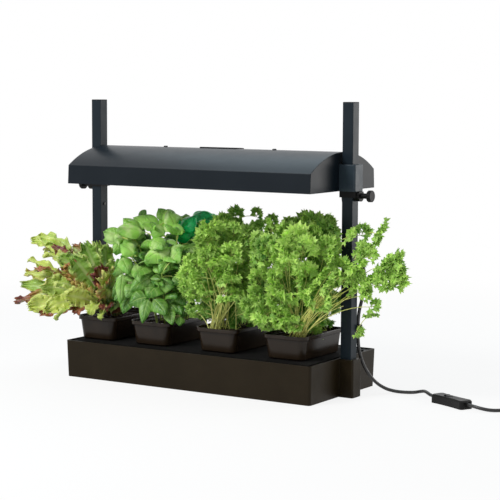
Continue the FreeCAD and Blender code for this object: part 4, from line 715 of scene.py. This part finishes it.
stalk_rounder = Grower("round_stalks", {"Sides": 6})
path = stalk_rounder.node("GeometryNodeMeshToCurve", {}, {"Mesh": stalk_rounder.given["Geometry"]})
ring = stalk_rounder.node("GeometryNodeCurvePrimitiveCircle", {},
                          {"Resolution": stalk_rounder.given["Sides"], "Radius": 1.0})
stalk_rounder.end(stalk_rounder.node("GeometryNodeCurveToMesh", {}, {
    "Curve": path, "Profile Curve": ring, "Scale": stalk_rounder.mark("thick"), "Fill Caps": True}))


class Stalks:
    """Collects the middle lines of stalks, with how thick and how pale they are."""

    def __init__(self):
        self.points, self.edges, self.thick, self.pale = [], [], [], []

    def line(self, start, bend, end, thick, thin, pale, steps):
        start, bend, end = (np.array(p, float) for p in (start, bend, end))
        first = len(self.points)
        for k in range(steps + 1):
            self.points.append(tuple(bowed(start, bend, end, k / steps)))
            self.thick.append(thick + (thin - thick) * (k / steps))
            self.pale.append(pale)
        self.edges += [(first + k, first + k + 1) for k in range(steps)]

    def piece(self, name, sides):
        lines = drawn(name + "_lines", self.points, edges=self.edges, thick=self.thick, pale=self.pale)
        made = stalk_rounder.grow(lines, name, Sides=sides, Material=stalk.material)
        made.data.shade_smooth()
        return made


basil, basil_stalks = Foliage(23, ovate, cupped), Stalks()
pot_x, pot_y, soil_top = -0.110, -0.022, 0.1225
stem, twig = (0.0022, 0.0012), (0.0012, 0.0010)  # how thick they are at their foot and their top
large_grid, small_grid = (21, 13), (15, 9)
upwards, half_upwards, forwards = (0.42, -0.72, 0.6), (0.4, -0.7, 0.5), (0.4, -0.7, 0.4)  # how leaves face
bush_left, bush_right, bush_front = -0.196, -0.044, -0.104
leaf_thickness, top_tuft = 0.0005, 0.012
# stem foot from the pot's middle, top, how many leaf pairs, largest leaf in millimetres
basil_stems = (
    (-8, -40, -28, -112, 240, 4, 54), (10, -38, 34, -104, 250, 4, 54), (-18, -10, -62, -70, 316, 5, 58),
    (0, -12, -16, -66, 336, 5, 56), (16, -10, 40, -56, 330, 5, 56), (-20, 20, -64, 20, 326, 5, 56),
    (4, 20, 2, 30, 350, 5, 54), (22, 18, 54, 44, 334, 5, 56), (-10, 38, -34, 74, 296, 4, 54),
    (14, 40, 30, 76, 300, 4, 54), (-14, -30, -50, -100, 282, 4, 54), (12, -24, 10, -92, 296, 4, 54))
# foot, tip and width of the leaves that show, in millimetres, then how pale, and 1 where lamp light shining through
# the leaf is painted in bright teal
basil_leaves = (
    (-80, -60, 293, -104, -128, 267, 36, 0.75, 0), (-149, -60, 319, -182, -120, 331, 28, 1.0, 0),
    (-196, -20, 336, -179, -20, 363, 14, 0.1, 0), (-141, -30, 326, -94, -40, 364, 32, 0.95, 0),
    (-141, -30, 324, -166, -40, 355, 20, 0.9, 0), (-131, -40, 323, -56, -50, 327, 18, 1.0, 0),
    (-105, -20, 297, -53, -10, 329, 26, 0.55, 1), (-68, -20, 297, -38, -20, 267, 22, 0.5, 0),
    (-115, 40, 327, -48, 60, 347, 40, 0.3, 1), (-83, 40, 335, -148, 60, 340, 24, 0.3, 1),
    (-95, 30, 307, -38, 40, 305, 28, 0.3, 1), (-106, 30, 297, -78, 60, 319, 28, 0.3, 1),
    (-196, 60, 342, -200, 60, 349, 12, 0.2, 1), (-64, -60, 238, -67, -60, 272, 30, 0.45, 0),
    (-102, -70, 232, -140, -130, 199, 28, 0.5, 0), (-97, -70, 219, -103, -120, 190, 34, 0.45, 0),
    (-105, -110, 186, -135, -140, 174, 32, 0.5, 0), (-105, -110, 186, -100, -142, 135, 20, 0.6, 0),
    (-100, -106, 184, -54, -120, 155, 28, 0.5, 0), (-70, -70, 197, -71, -84, 173, 22, 0.5, 0),
    (-174, -110, 238, -167, -130, 169, 18, 0.5, 0), (-192, -60, 300, -200, -110, 277, 28, 0.45, 0),
    (-182, -80, 254, -196, -120, 231, 26, 0.45, 0), (-131, -70, 256, -128, -128, 232, 30, 0.45, 0),
    (-69, -60, 268, -76, -110, 242, 28, 0.45, 0), (-165, -60, 288, -171, -110, 296, 26, 0.45, 0),
    (-103, -50, 312, -131, -70, 334, 26, 0.45, 0), (-90, -20, 320, -58, -10, 356, 34, 0.45, 1),
    (-111, -60, 282, -44, -96, 264, 28, 0.45, 0), (-57, -40, 258, -38, -56, 231, 22, 0.45, 0),
    (-195, -100, 216, -200, -120, 182, 24, 0.45, 0), (-82, -80, 178, -46, -86, 156, 22, 0.45, 0),
    (-141, -100, 211, -145, -138, 188, 26, 0.45, 0), (-101, -90, 208, -52, -100, 217, 26, 0.45, 0),
    (-166, -80, 255, -114, -130, 224, 26, 0.45, 0), (-196, -90, 267, -145, -130, 239, 24, 0.45, 0),
    (-143, -60, 302, -70, -110, 297, 28, 0.45, 0), (-175, -90, 194, -191, -120, 175, 26, 0.5, 0),
    (-165, -90, 182, -165, -126, 151, 26, 0.4, 0), (-78, -70, 177, -38, -84, 152, 24, 0.5, 0),
    (-69, -60, 199, -38, -70, 172, 24, 0.4, 0), (-75, -90, 167, -45, -110, 133, 20, 0.8, 0),
    (-45, -80, 147, -38, -90, 129, 16, 0.95, 0), (-165, -60, 310, -187, -80, 343, 28, 0.6, 0),
    (-152, -40, 331, -191, -50, 349, 28, 0.8, 0), (-117, -30, 341, -138, -30, 370, 20, 0.4, 0),
    (-83, -40, 330, -97, -50, 365, 26, 0.9, 0), (-193, -80, 301, -200, -100, 306, 26, 0.7, 0),
    (-198, -20, 293, -200, -20, 332, 22, 0.5, 0), (-191, -90, 254, -200, -110, 242, 26, 0.3, 0),
    (-197, -90, 223, -200, -106, 205, 24, 0.2, 0), (-194, -40, 306, -226, -60, 322, 26, 0.6, 0),
    (-190, -40, 318, -218, -50, 346, 22, 0.8, 0), (-196, -60, 294, -224, -84, 300, 24, 0.5, 0),
    (-114, 50, 313, -136, 50, 348, 26, 0.5, 1), (-100, 60, 304, -57, 60, 324, 30, 0.5, 1),
    (-123, 40, 296, -70, 40, 290, 26, 0.5, 1), (-101, 62, 295, -53, 62, 298, 26, 0.5, 1),
    (-113, 64, 325, -86, 64, 358, 28, 0.5, 1), (-85, 70, 326, -59, 70, 354, 24, 0.5, 1),
    (-64, -90, 262, -38, -90, 291, 28, 0.6, 0), (-59, -90, 232, -38, -90, 219, 26, 0.35, 0),
    (-146, -100, 271, -174, -120, 297, 28, 0.75, 0))
random = np.random.default_rng(7)
knots = []
for foot_x, foot_y, top_x, top_y, top_z, pairs, largest in basil_stems:
    foot = np.array([pot_x + foot_x / 1000, pot_y + foot_y / 1000, soil_top])
    top = np.array([pot_x + top_x / 1000, top_y / 1000, top_z / 1000 - top_tuft])
    bend = np.array([foot[0] * 0.7 + top[0] * 0.3, foot[1] * 0.7 + top[1] * 0.3, (foot[2] + top[2]) / 2 + 0.02])
    basil_stalks.line(foot, bend, top, *stem, 0.25, 9)
    knots += [bowed(foot, bend, top, u) for u in np.linspace(0.1, 1.0, 10)]
    turn = random.uniform(0, math.pi)
    for k in range(pairs + 1):
        node = bowed(foot, bend, top, 0.3 + 0.7 * k / pairs)
        young = k == pairs
        size = largest / 1000 * (0.6 if young else 1.0 - 0.06 * (k - 2) ** 2) * random.uniform(0.85, 1.1)
        for side in range(4 if young else 2):
            way = turn + side * (math.pi / 2 if young else math.pi) + random.normal(0, 0.15)
            rise = random.uniform(0.5, 1.1) if young else random.uniform(-0.25, 0.45)
            heading = unit(np.array([math.cos(way), math.sin(way), rise]))
            tip = node + heading * size * (0.55 if side > 1 else 1.0)
            tip[0], tip[1] = min(max(tip[0], bush_left), bush_right), max(tip[1], bush_front)
            # each leaf's tone falls towards the soil, as painted shade low in the bush, and the high leaves at the
            # back right are marked for the painted teal glow
            basil.blade(node, tip, size * 0.16, size * random.uniform(0.58, 0.72) * (0.6 if side > 1 else 1.0),
                        random.normal(0, 0.3), small_grid, sag=size * 0.12, facing=(0.3, -0.45, 0.85),
                        tone=np.clip((random.normal(0.42, 0.3) + 0.35 * young) * (node[2] - 0.11) / 0.2, 0, 1),
                        emerald=0.9 * (node[0] > -0.1 and node[1] > -0.01 and node[2] > 0.29))
        turn += math.pi / 2
knots = np.array(knots)
for *place, width, toned, lit_green in basil_leaves:
    foot, tip = mm(*place[:3]), mm(*place[3:])
    # the listed tone is scaled by height: darker low down as painted shade, lighter at the top as painted light
    basil.blade(foot, tip, np.linalg.norm(tip - foot) * random.uniform(0.08, 0.26), width / 1000 * 1.45,
                random.normal(0, 0.18), large_grid, facing=upwards,
                tone=min(1.0, toned * (0.3 + max(0, min(place[2] - 180, 120)) / 110)), emerald=lit_green)
    nearest = knots[np.argmin(np.linalg.norm(knots - foot, axis=1) + 2 * np.clip(knots[:, 2] - foot[2], 0, 1))]
    basil_stalks.line(nearest, (nearest + foot) / 2 + mm(0, 0, 4), foot, *twig, 0.5, 3)
# small leaves fill the bush, then its right side low down, and four close the gaps at its left and right
for k in range(46):
    turn = random.uniform(0, 2 * math.pi)
    high = random.uniform(0.185, 0.318 - 0.05 * max(0.0, math.cos(turn)))
    foot = np.array([-0.120 + 0.054 * math.cos(turn), -0.020 + 0.042 * math.sin(turn), high])
    tip = foot + np.array([0.03 * math.cos(turn), 0.03 * math.sin(turn) - 0.008, random.uniform(-0.034, 0.03)])
    basil.blade(foot, tip, 0.006, random.uniform(0.030, 0.042), random.normal(0, 0.3), small_grid,
                facing=half_upwards, tone=random.uniform(0.0, 0.45), emerald=0.0)
for k in range(22):
    foot = within(random, (-0.084, -0.062), (-0.07, 0.0), (0.135, 0.225))
    tip = foot + within(random, (0.0, 0.022), (-0.02, 0.0), (-0.012, 0.03))
    basil.blade(foot, tip, 0.004, random.uniform(0.020, 0.030), random.normal(0, 0.3), small_grid,
                facing=forwards, tone=random.uniform(0.0, 0.5), emerald=0.0)
for foot_z, tip_z, width in ((0.306, 0.320, 0.036), (0.308, 0.302, 0.032)):
    foot = (-0.198, -0.080, foot_z)
    basil.blade(foot, (-0.236, -0.104, tip_z), 0.005, width, 0.1, large_grid, facing=upwards, tone=0.6, emerald=0.0)
    basil_stalks.line((-0.170, -0.070, 0.300), (-0.184, -0.076, 0.304), foot, *twig, 0.5, 3)
for tip_z in (0.188, 0.200):
    basil.blade((-0.070, -0.020, tip_z + 0.006), (-0.038, -0.022, tip_z), 0.005, 0.030, 0.1, small_grid,
                facing=forwards, tone=0.2, emerald=0.0)
# the leaves at the left are held back too, further low down beside the lettuce than above it
wall_low_down, wall_further, wall_from, wall_over = -0.195, 0.035, 0.270, 0.03
for points in basil.points:
    wall = wall_low_down - wall_further * np.clip((points[:, 2] - wall_from) / wall_over, 0, 1)
    points[:, 0] = np.maximum(points[:, 0], wall + held_back * (points[:, 0] - wall))
basil_bush = basil.piece("basil_leaves", leaf.material, leaf_thickness)
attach(basil_bush, "planted_pot_2")
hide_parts("basil")
basil_stems_made = basil_stalks.piece("basil_stems", 7)
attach(basil_stems_made, "planted_pot_2")


# The two parsleys are curly: pale stalks fan out from each crown, and each ends in a frond of small
# frilled leaflets set on side stalks. The right one leans out past the post, into the light.
def leaflet(name, seed, length, curl):
    """One frilled leaflet: a fan of toothed lobes, thin at its rim, closed all round."""
    random = np.random.default_rng(seed)
    steps, inside, thick = 18, 6, 0.00035
    rim, inner = [], []
    for k in range(steps + 1):
        spread = math.radians(-96 + 192 * k / steps)
        lobe = 0.80 + 0.20 * math.cos(3 * spread)
        reach = length * lobe * (1.0 if k % 2 == 0 else 0.76) * random.uniform(0.92, 1.06)
        lift = curl * length * (math.sin(4.5 * spread + random.uniform(-0.4, 0.4)) + 0.5 * (k % 2))
        rim.append((reach * math.sin(spread) * 0.78, reach * math.cos(spread) * 0.9 + length * 0.12, lift))
    rim.append((0.0, -length * 0.06, 0.0))
    for k in range(inside):
        spread = math.radians(-75 + 150 * k / (inside - 1))
        inner.append((0.42 * length * math.sin(spread) * 0.8, 0.42 * length * math.cos(spread) + length * 0.10,
                      0.10 * length + 0.35 * curl * length * math.sin(4.5 * spread)))
    points = rim + [(x, y, z + thick) for x, y, z in inner] + [(x, y, z - thick) for x, y, z in inner]
    count, last = len(rim), len(rim) - 1
    faces = []
    for upper, first in ((True, count), (False, count + inside)):
        layer = [(first + k, first + k + 1, last) for k in range(inside - 1)]
        reached = 0
        for k in range(steps):
            while reached < min(inside - 1, int((k + 0.5) / (steps / (inside - 1)) + 0.5)):
                layer.append((first + reached, k, first + reached + 1))
                reached += 1
            layer.append((first + reached, k, k + 1))
        layer += [(last, 0, first), (steps, last, first + inside - 1)]
        faces += [face[::-1] if upper else face for face in layer]
    return drawn(name, points, faces, rim=[1.0] * last + [0.0] + [0.35] * 2 * inside)


class Fronds:
    """Collects leaflet places, with the stalks that carry them."""

    # how thick each stalk is at its foot and its end
    stem, branch, rib, side_rib = (0.0011, 0.0007), (0.0008, 0.0007), (0.0007, 0.0004), (0.0005, 0.0003)

    def __init__(self, crown, seed):
        self.crown, self.random, self.stalks = np.array(crown, float), np.random.default_rng(seed), Stalks()
        self.points, self.aim, self.facing, self.size, self.tone = [], [], [], [], []

    def frond(self, place, heading, facing, spread, tone, stem=True):
        """One frond, on a long stem from the crown or on a short one from the nearest stalk."""
        random, stalks = self.random, self.stalks
        heading = unit(heading)
        facing = unit(facing - heading * facing.dot(heading))
        side = np.cross(heading, facing)
        root = place - heading * spread * 0.42
        if stem:
            foot = self.crown + np.array([random.normal(0, 0.011), random.normal(0, 0.016), 0])
            bend = foot * 0.45 + root * 0.55 + np.array([0, 0, 0.22 * np.linalg.norm((root - foot)[:2])])
            bend -= heading * spread * 0.3
            stalks.line(foot, bend, root, *self.stem, random.uniform(0.6, 1.0), 8)
        else:
            known = np.array(stalks.points)
            fork = known[np.argmin(np.linalg.norm(known - root, axis=1) + 1.5 * np.clip(known[:, 2] - root[2], 0, 1))]
            rise = np.array([0, 0, 0.2 * np.linalg.norm(root - fork)])
            stalks.line(fork, (fork + root) / 2 + rise, root, *self.branch, random.uniform(0.35, 1.0), 4)
        tip = root + heading * spread * 0.5
        stalks.line(root, (root + tip) / 2, tip, *self.rib, 0.5, 2)
        groups = [(tip, heading, 0.44, 5, 46)]
        for along, angle in ((0.10, 62), (0.32, 50)):
            for sign in (-1, 1):
                turn = math.radians(angle + random.normal(0, 8)) * sign
                way = unit(heading * math.cos(turn) + side * math.sin(turn) + facing * random.normal(0.05, 0.2))
                knot = root + heading * spread * along
                end = knot + way * spread * 0.24
                stalks.line(knot, (knot + end) / 2, end, *self.side_rib, 0.5, 1)
                groups.append((end, way, 0.40, 3, 62))
        for knot, way, reach, count, step in groups:
            across = np.cross(way, facing)
            for k in range(count):
                turn = math.radians((k - (count - 1) / 2) * step + random.normal(0, 10))
                aim = unit(way * math.cos(turn) + across * math.sin(turn) + facing * random.normal(0.06, 0.16))
                self.points.append(tuple(knot + aim * spread * 0.03))
                self.aim.append(aim)
                self.facing.append(facing + random.normal(0, 0.24, 3))
                self.size.append(spread * reach * random.uniform(0.75, 1.15) / leaflet_length)
                self.tone.append(np.clip(tone + random.normal(0, 0.18), 0, 1))


leaf = Finish("parsley_leaf", Specular_IOR_Level=0.4, Subsurface_Weight=0.15, Subsurface_Scale=0.003,
              Subsurface_Radius=(0.6, 1.0, 0.2))
mottle = leaf.noise(110.0, 3.0, 0.6)
green = leaf.mix(leaf.mark("tone"), tint(48, 124, 28), tint(198, 244, 112))
green = leaf.mix(leaf.mark("rim") * 0.35, green, tint(206, 236, 122))
leaf.colour(mottle.fade(0.35, 0.75) * 0.25, green, tint(96, 150, 52))
leaf.gloss(mottle, 0.42, 0.58)
leaf.relief(leaf.noise(420.0, 3.0, 0.6), 0.0004)

leaflet_length, curls = 0.010, (0.16, 0.22, 0.28)
shapes = [leaflet(f"leaflet_{k}", 31 + k, leaflet_length, curl) for k, curl in enumerate(curls)]
frond_filler = Grower("frilled_fronds", {"Leaflet size": 1.0, "Seed": 1})
whole = [frond_filler.node("GeometryNodeGeometryToInstance", {}, {
    "Geometry": frond_filler.node("GeometryNodeObjectInfo", {}, {"Object": shape}, out="Geometry")})
    for shape in reversed(shapes)]
aimed = frond_filler.node("FunctionNodeAlignRotationToVector", {"axis": "Y"},
                          {"Vector": frond_filler.mark("aim", "FLOAT_VECTOR")})
faced = frond_filler.node("FunctionNodeAlignRotationToVector", {"axis": "Z", "pivot_axis": "Y"},
                          {"Rotation": aimed, "Vector": frond_filler.mark("facing", "FLOAT_VECTOR")})
# Random Value has a socket of each name for every kind of number, and these are the ones for whole numbers
whole_low, whole_high, whole_out = 4, 5, 2
pick = frond_filler.node("FunctionNodeRandomValue", {"data_type": "INT"},
                         {whole_low: 0, whole_high: len(shapes) - 1, "Seed": frond_filler.given["Seed"]}, whole_out)
frond_filler.end(frond_filler.node("GeometryNodeInstanceOnPoints", {}, {
    "Points": frond_filler.given["Geometry"], "Pick Instance": True, "Instance Index": pick, "Rotation": faced,
    "Instance": frond_filler.node("GeometryNodeJoinGeometry", {}, {"Geometry": whole}),
    "Scale": frond_filler.mark("size") * frond_filler.given["Leaflet size"]}))

# middle of each frond and its size in millimetres, and its tone, which holds painted light and shade, lighter for the
# upper fronds and darker inside, the last ones filling in behind, dark as painted shade
left_fronds = (
    (36, 10, 365, 34, 0.2), (92, 10, 370, 30, 0.25), (100, 56, 350, 30, 0.2), (44, -50, 352, 44, 0.35),
    (72, -20, 322, 46, 0.5), (95, -22, 328, 40, 0.4), (10, -56, 300, 44, 0.5), (36, -52, 290, 44, 0.2),
    (82, -52, 292, 52, 0.3), (4, -108, 268, 46, 0.6), (38, -116, 276, 44, 0.75), (68, -108, 272, 46, 0.8),
    (100, -108, 276, 44, 0.6), (-4, -116, 244, 44, 0.75), (14, -112, 230, 44, 0.75), (2, -122, 214, 48, 0.85),
    (24, -100, 200, 34, 0.7), (90, -104, 246, 48, 0.6), (102, -80, 206, 50, 0.7), (-10, -96, 162, 30, 0.4),
    (6, -104, 160, 26, 0.4), (104, -110, 236, 40, 0.6), (102, -116, 197, 44, 0.8), (44, -118, 204, 34, 0.8),
    (10, -114, 196, 34, 0.7), (30, -114, 172, 28, 0.6), (62, -90, 250, 44, 0.7), (30, -96, 320, 40, 0.6),
    (60, -80, 330, 44, 0.6), (8, -30, 150, 34, 0.1), (20, -20, 168, 40, 0.1), (86, -70, 340, 40, 0.5),
    (98, -100, 300, 46, 0.7), (56, -112, 296, 46, 0.7))
right_fronds = (
    (252, -112, 336, 74, 0.9), (246, -24, 356, 60, 0.35), (282, -24, 346, 56, 0.2), (272, -104, 318, 56, 0.8),
    (300, -60, 316, 50, 0.6), (304, -40, 322, 44, 0.3), (316, -72, 292, 46, 0.65), (180, -88, 280, 52, 0.8),
    (150, -48, 292, 46, 0.15), (206, -72, 294, 46, 0.2), (144, -72, 272, 44, 0.55), (232, -104, 272, 50, 0.75),
    (272, -98, 266, 50, 0.65), (308, -92, 256, 48, 0.75), (322, -66, 248, 40, 0.6), (296, -112, 232, 44, 0.75),
    (224, -116, 212, 66, 0.85), (176, -100, 182, 46, 0.8), (238, -108, 180, 46, 0.75), (256, -96, 156, 26, 0.5),
    (200, -92, 164, 40, 0.8), (374, -60, 276, 58, 0.8), (372, -34, 350, 36, 0.35), (424, -52, 352, 44, 0.5),
    (352, -50, 338, 38, 0.7), (384, -54, 318, 36, 0.6), (404, -56, 308, 38, 0.6), (434, -58, 288, 38, 0.65),
    (456, -48, 296, 44, 0.5), (460, -52, 270, 54, 0.55), (412, -56, 202, 32, 0.7), (402, -54, 180, 30, 0.75),
    (384, -66, 146, 26, 0.7), (398, -56, 250, 40, 0.85), (432, -64, 252, 34, 0.6), (155, -114, 166, 40, 0.7),
    (184, -118, 166, 46, 0.8), (167, -118, 212, 46, 0.7), (215, -120, 192, 52, 0.85), (251, -122, 164, 46, 0.85),
    (284, -118, 212, 50, 0.8), (322, -98, 196, 34, 0.8), (330, -108, 218, 44, 0.75), (338, -112, 246, 44, 0.7),
    (142, -110, 190, 38, 0.6), (262, -116, 148, 32, 0.8), (222, -116, 152, 36, 0.8), (190, -112, 150, 32, 0.7),
    (206, -110, 246, 50, 0.75), (160, -104, 246, 46, 0.7), (226, -108, 306, 52, 0.8), (190, -104, 314, 48, 0.7),
    (156, -96, 318, 46, 0.6), (204, -60, 342, 46, 0.5), (380, -60, 250, 44, 0.6), (420, -56, 262, 44, 0.6),
    (445, -56, 240, 36, 0.6), (395, -60, 225, 36, 0.7), (370, -50, 300, 40, 0.5), (410, -50, 330, 34, 0.5),
    (246, -116, 288, 50, 0.8), (336, -52, 276, 44, 0.7), (352, -60, 260, 40, 0.7), (326, -72, 262, 44, 0.75),
    (374, -56, 262, 40, 0.7), (364, -60, 238, 36, 0.7), (388, -60, 238, 34, 0.8), (456, -54, 288, 46, 0.6),
    (462, -52, 258, 44, 0.6), (446, -54, 264, 40, 0.6), (240, -60, 232, 46, 0.4), (236, -40, 160, 44, 0.1),
    (222, -30, 190, 46, 0.1), (262, -40, 268, 46, 0.1), (296, -30, 262, 46, 0.1), (206, -40, 158, 40, 0.1),
    (250, -36, 184, 44, 0.1), (276, -36, 180, 40, 0.1), (226, -40, 222, 46, 0.3), (264, -62, 240, 44, 0.4),
    (250, -30, 210, 44, 0.2), (212, -20, 236, 44, 0.3))
# frond middles that close the gap to the next pot, low at the left, dark as painted shade
left_gap = ((0, -20, 160), (-8, -12, 170), (12, -24, 154), (-4, -24, 150), (20, 0, 150), (-14, -20, 156),
            (-16, -6, 150))
right_gap = ((142, -20, 148),)
# number, its middle, its crown, its listed fronds, how many high and low ones fill it, the box they fill, its seed
parsleys = (
    (3, "parsley_left", 0.060, (0.046, -0.070, soil_top), left_fronds, left_gap, 82, 50,
     (-0.026, 0.112, -0.134, 0.088), 41),
    (4, "parsley_right", 0.226, (0.226, -0.030, soil_top), right_fronds, right_gap, 66, 44,
     (0.130, 0.290, -0.134, 0.082), 42))
high_zone, low_zone, low_depth = (0.19, 0.352), (0.134, 0.240), (-0.03, 0.07)
in_from_edge, lowest_at_edge, front_stalk = 0.01, 0.166, (0.0009, 0.0007)
for number, node, pot_x, crown, listed, gap, high_fill, low_fill, (x_low, x_high, y_low, y_high), seed in parsleys:
    clump = Fronds(crown, seed)
    random, heart = clump.random, np.array([pot_x, pot_y, 0.19])
    for k, (x, y, z, spread, toned) in enumerate(listed):
        place = mm(x, y, z)
        out = unit(place - heart)
        heading = out * 0.75 + np.array([0.05, -0.15, 0.25]) + random.normal(0, 0.18, 3)
        # fronds low down get 0.7 of their tone, darker as painted shade under the canopy
        clump.frond(place, heading, np.array([0.35, -0.7, 0.75]) + 0.3 * out, spread / 1000,
                    toned * (0.7 if z < 220 else 1.0), stem=k % 2 == 0 if x < 330 else k % 3 == 0)
    for k in range(high_fill):
        while True:
            place = x, y, z = within(random, (x_low, x_high), (y_low, y_high), high_zone)
            sideways = (x - (x_low + x_high) / 2) / (x_high - x_low) * 2
            inwards = (y - (y_low + y_high) / 2) / (y_high - y_low) * 2
            round_off = sideways ** 2 + inwards ** 2 + ((z - 0.26) / 0.1) ** 4 * 0.5
            if round_off < 1.05 and (y > -0.06 or z > 0.27) and (x > 0.03 or z < 0.29):
                break
        out = unit(place - heart)
        clump.frond(place, out * 0.8 + np.array([0, 0, 0.2]) + random.normal(0, 0.25, 3),
                    out * 0.6 + np.array([0, -0.1, 0.8]), random.uniform(0.036, 0.052), random.uniform(0.15, 0.7),
                    stem=k % 6 == 0)
    # the low fronds get a low tone, dark as painted shade beneath the canopy
    for k in range(low_fill):
        left, right = x_low + in_from_edge, x_high - in_from_edge
        place = within(random, (left, right), low_depth, low_zone)
        if k > 35:
            place = np.array([right if k % 2 else left, random.uniform(-0.06, 0.0), max(place[2], lowest_at_edge)])
        clump.frond(place, np.array([random.normal(0, 0.6), 0.2, 0.7]), np.array([0.4, -0.75, 0.4]), 0.042,
                    random.uniform(0.0, 0.4), stem=False)
    # bare stalks show in front of the right pot, and lean out to its right
    for k in range(16 if number == 4 else 0):
        foot = np.array([*within(random, (0.226, 0.258), (-0.088, -0.052)), soil_top])
        head = np.array([0.330 + random.normal(0, 0.013), -0.090 + random.normal(0, 0.010),
                         0.230 + random.normal(0, 0.018)])
        clump.stalks.line(foot, foot * 0.5 + head * 0.5 + mm(-6, -12, 20), head, *front_stalk, 1.0, 8)
    for place in gap:
        clump.frond(mm(*place), np.array([random.normal(0, 0.2), 0.2, 0.7]), np.array([0.4, -0.75, 0.4]), 0.044, 0.1,
                    stem=False)
    spots = drawn(f"parsley_{number}_points", clump.points, aim=clump.aim, facing=clump.facing, size=clump.size,
                  tone=clump.tone)
    leaves = frond_filler.grow(spots, f"parsley_{number}_leaves", Seed=seed, Material=leaf.material)
    stems = clump.stalks.piece(f"parsley_{number}_stalks", 5)
    for piece in (leaves, stems):
        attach(piece, f"planted_pot_{number}")
    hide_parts(node)
for shape in shapes:
    bpy.data.objects.remove(shape)
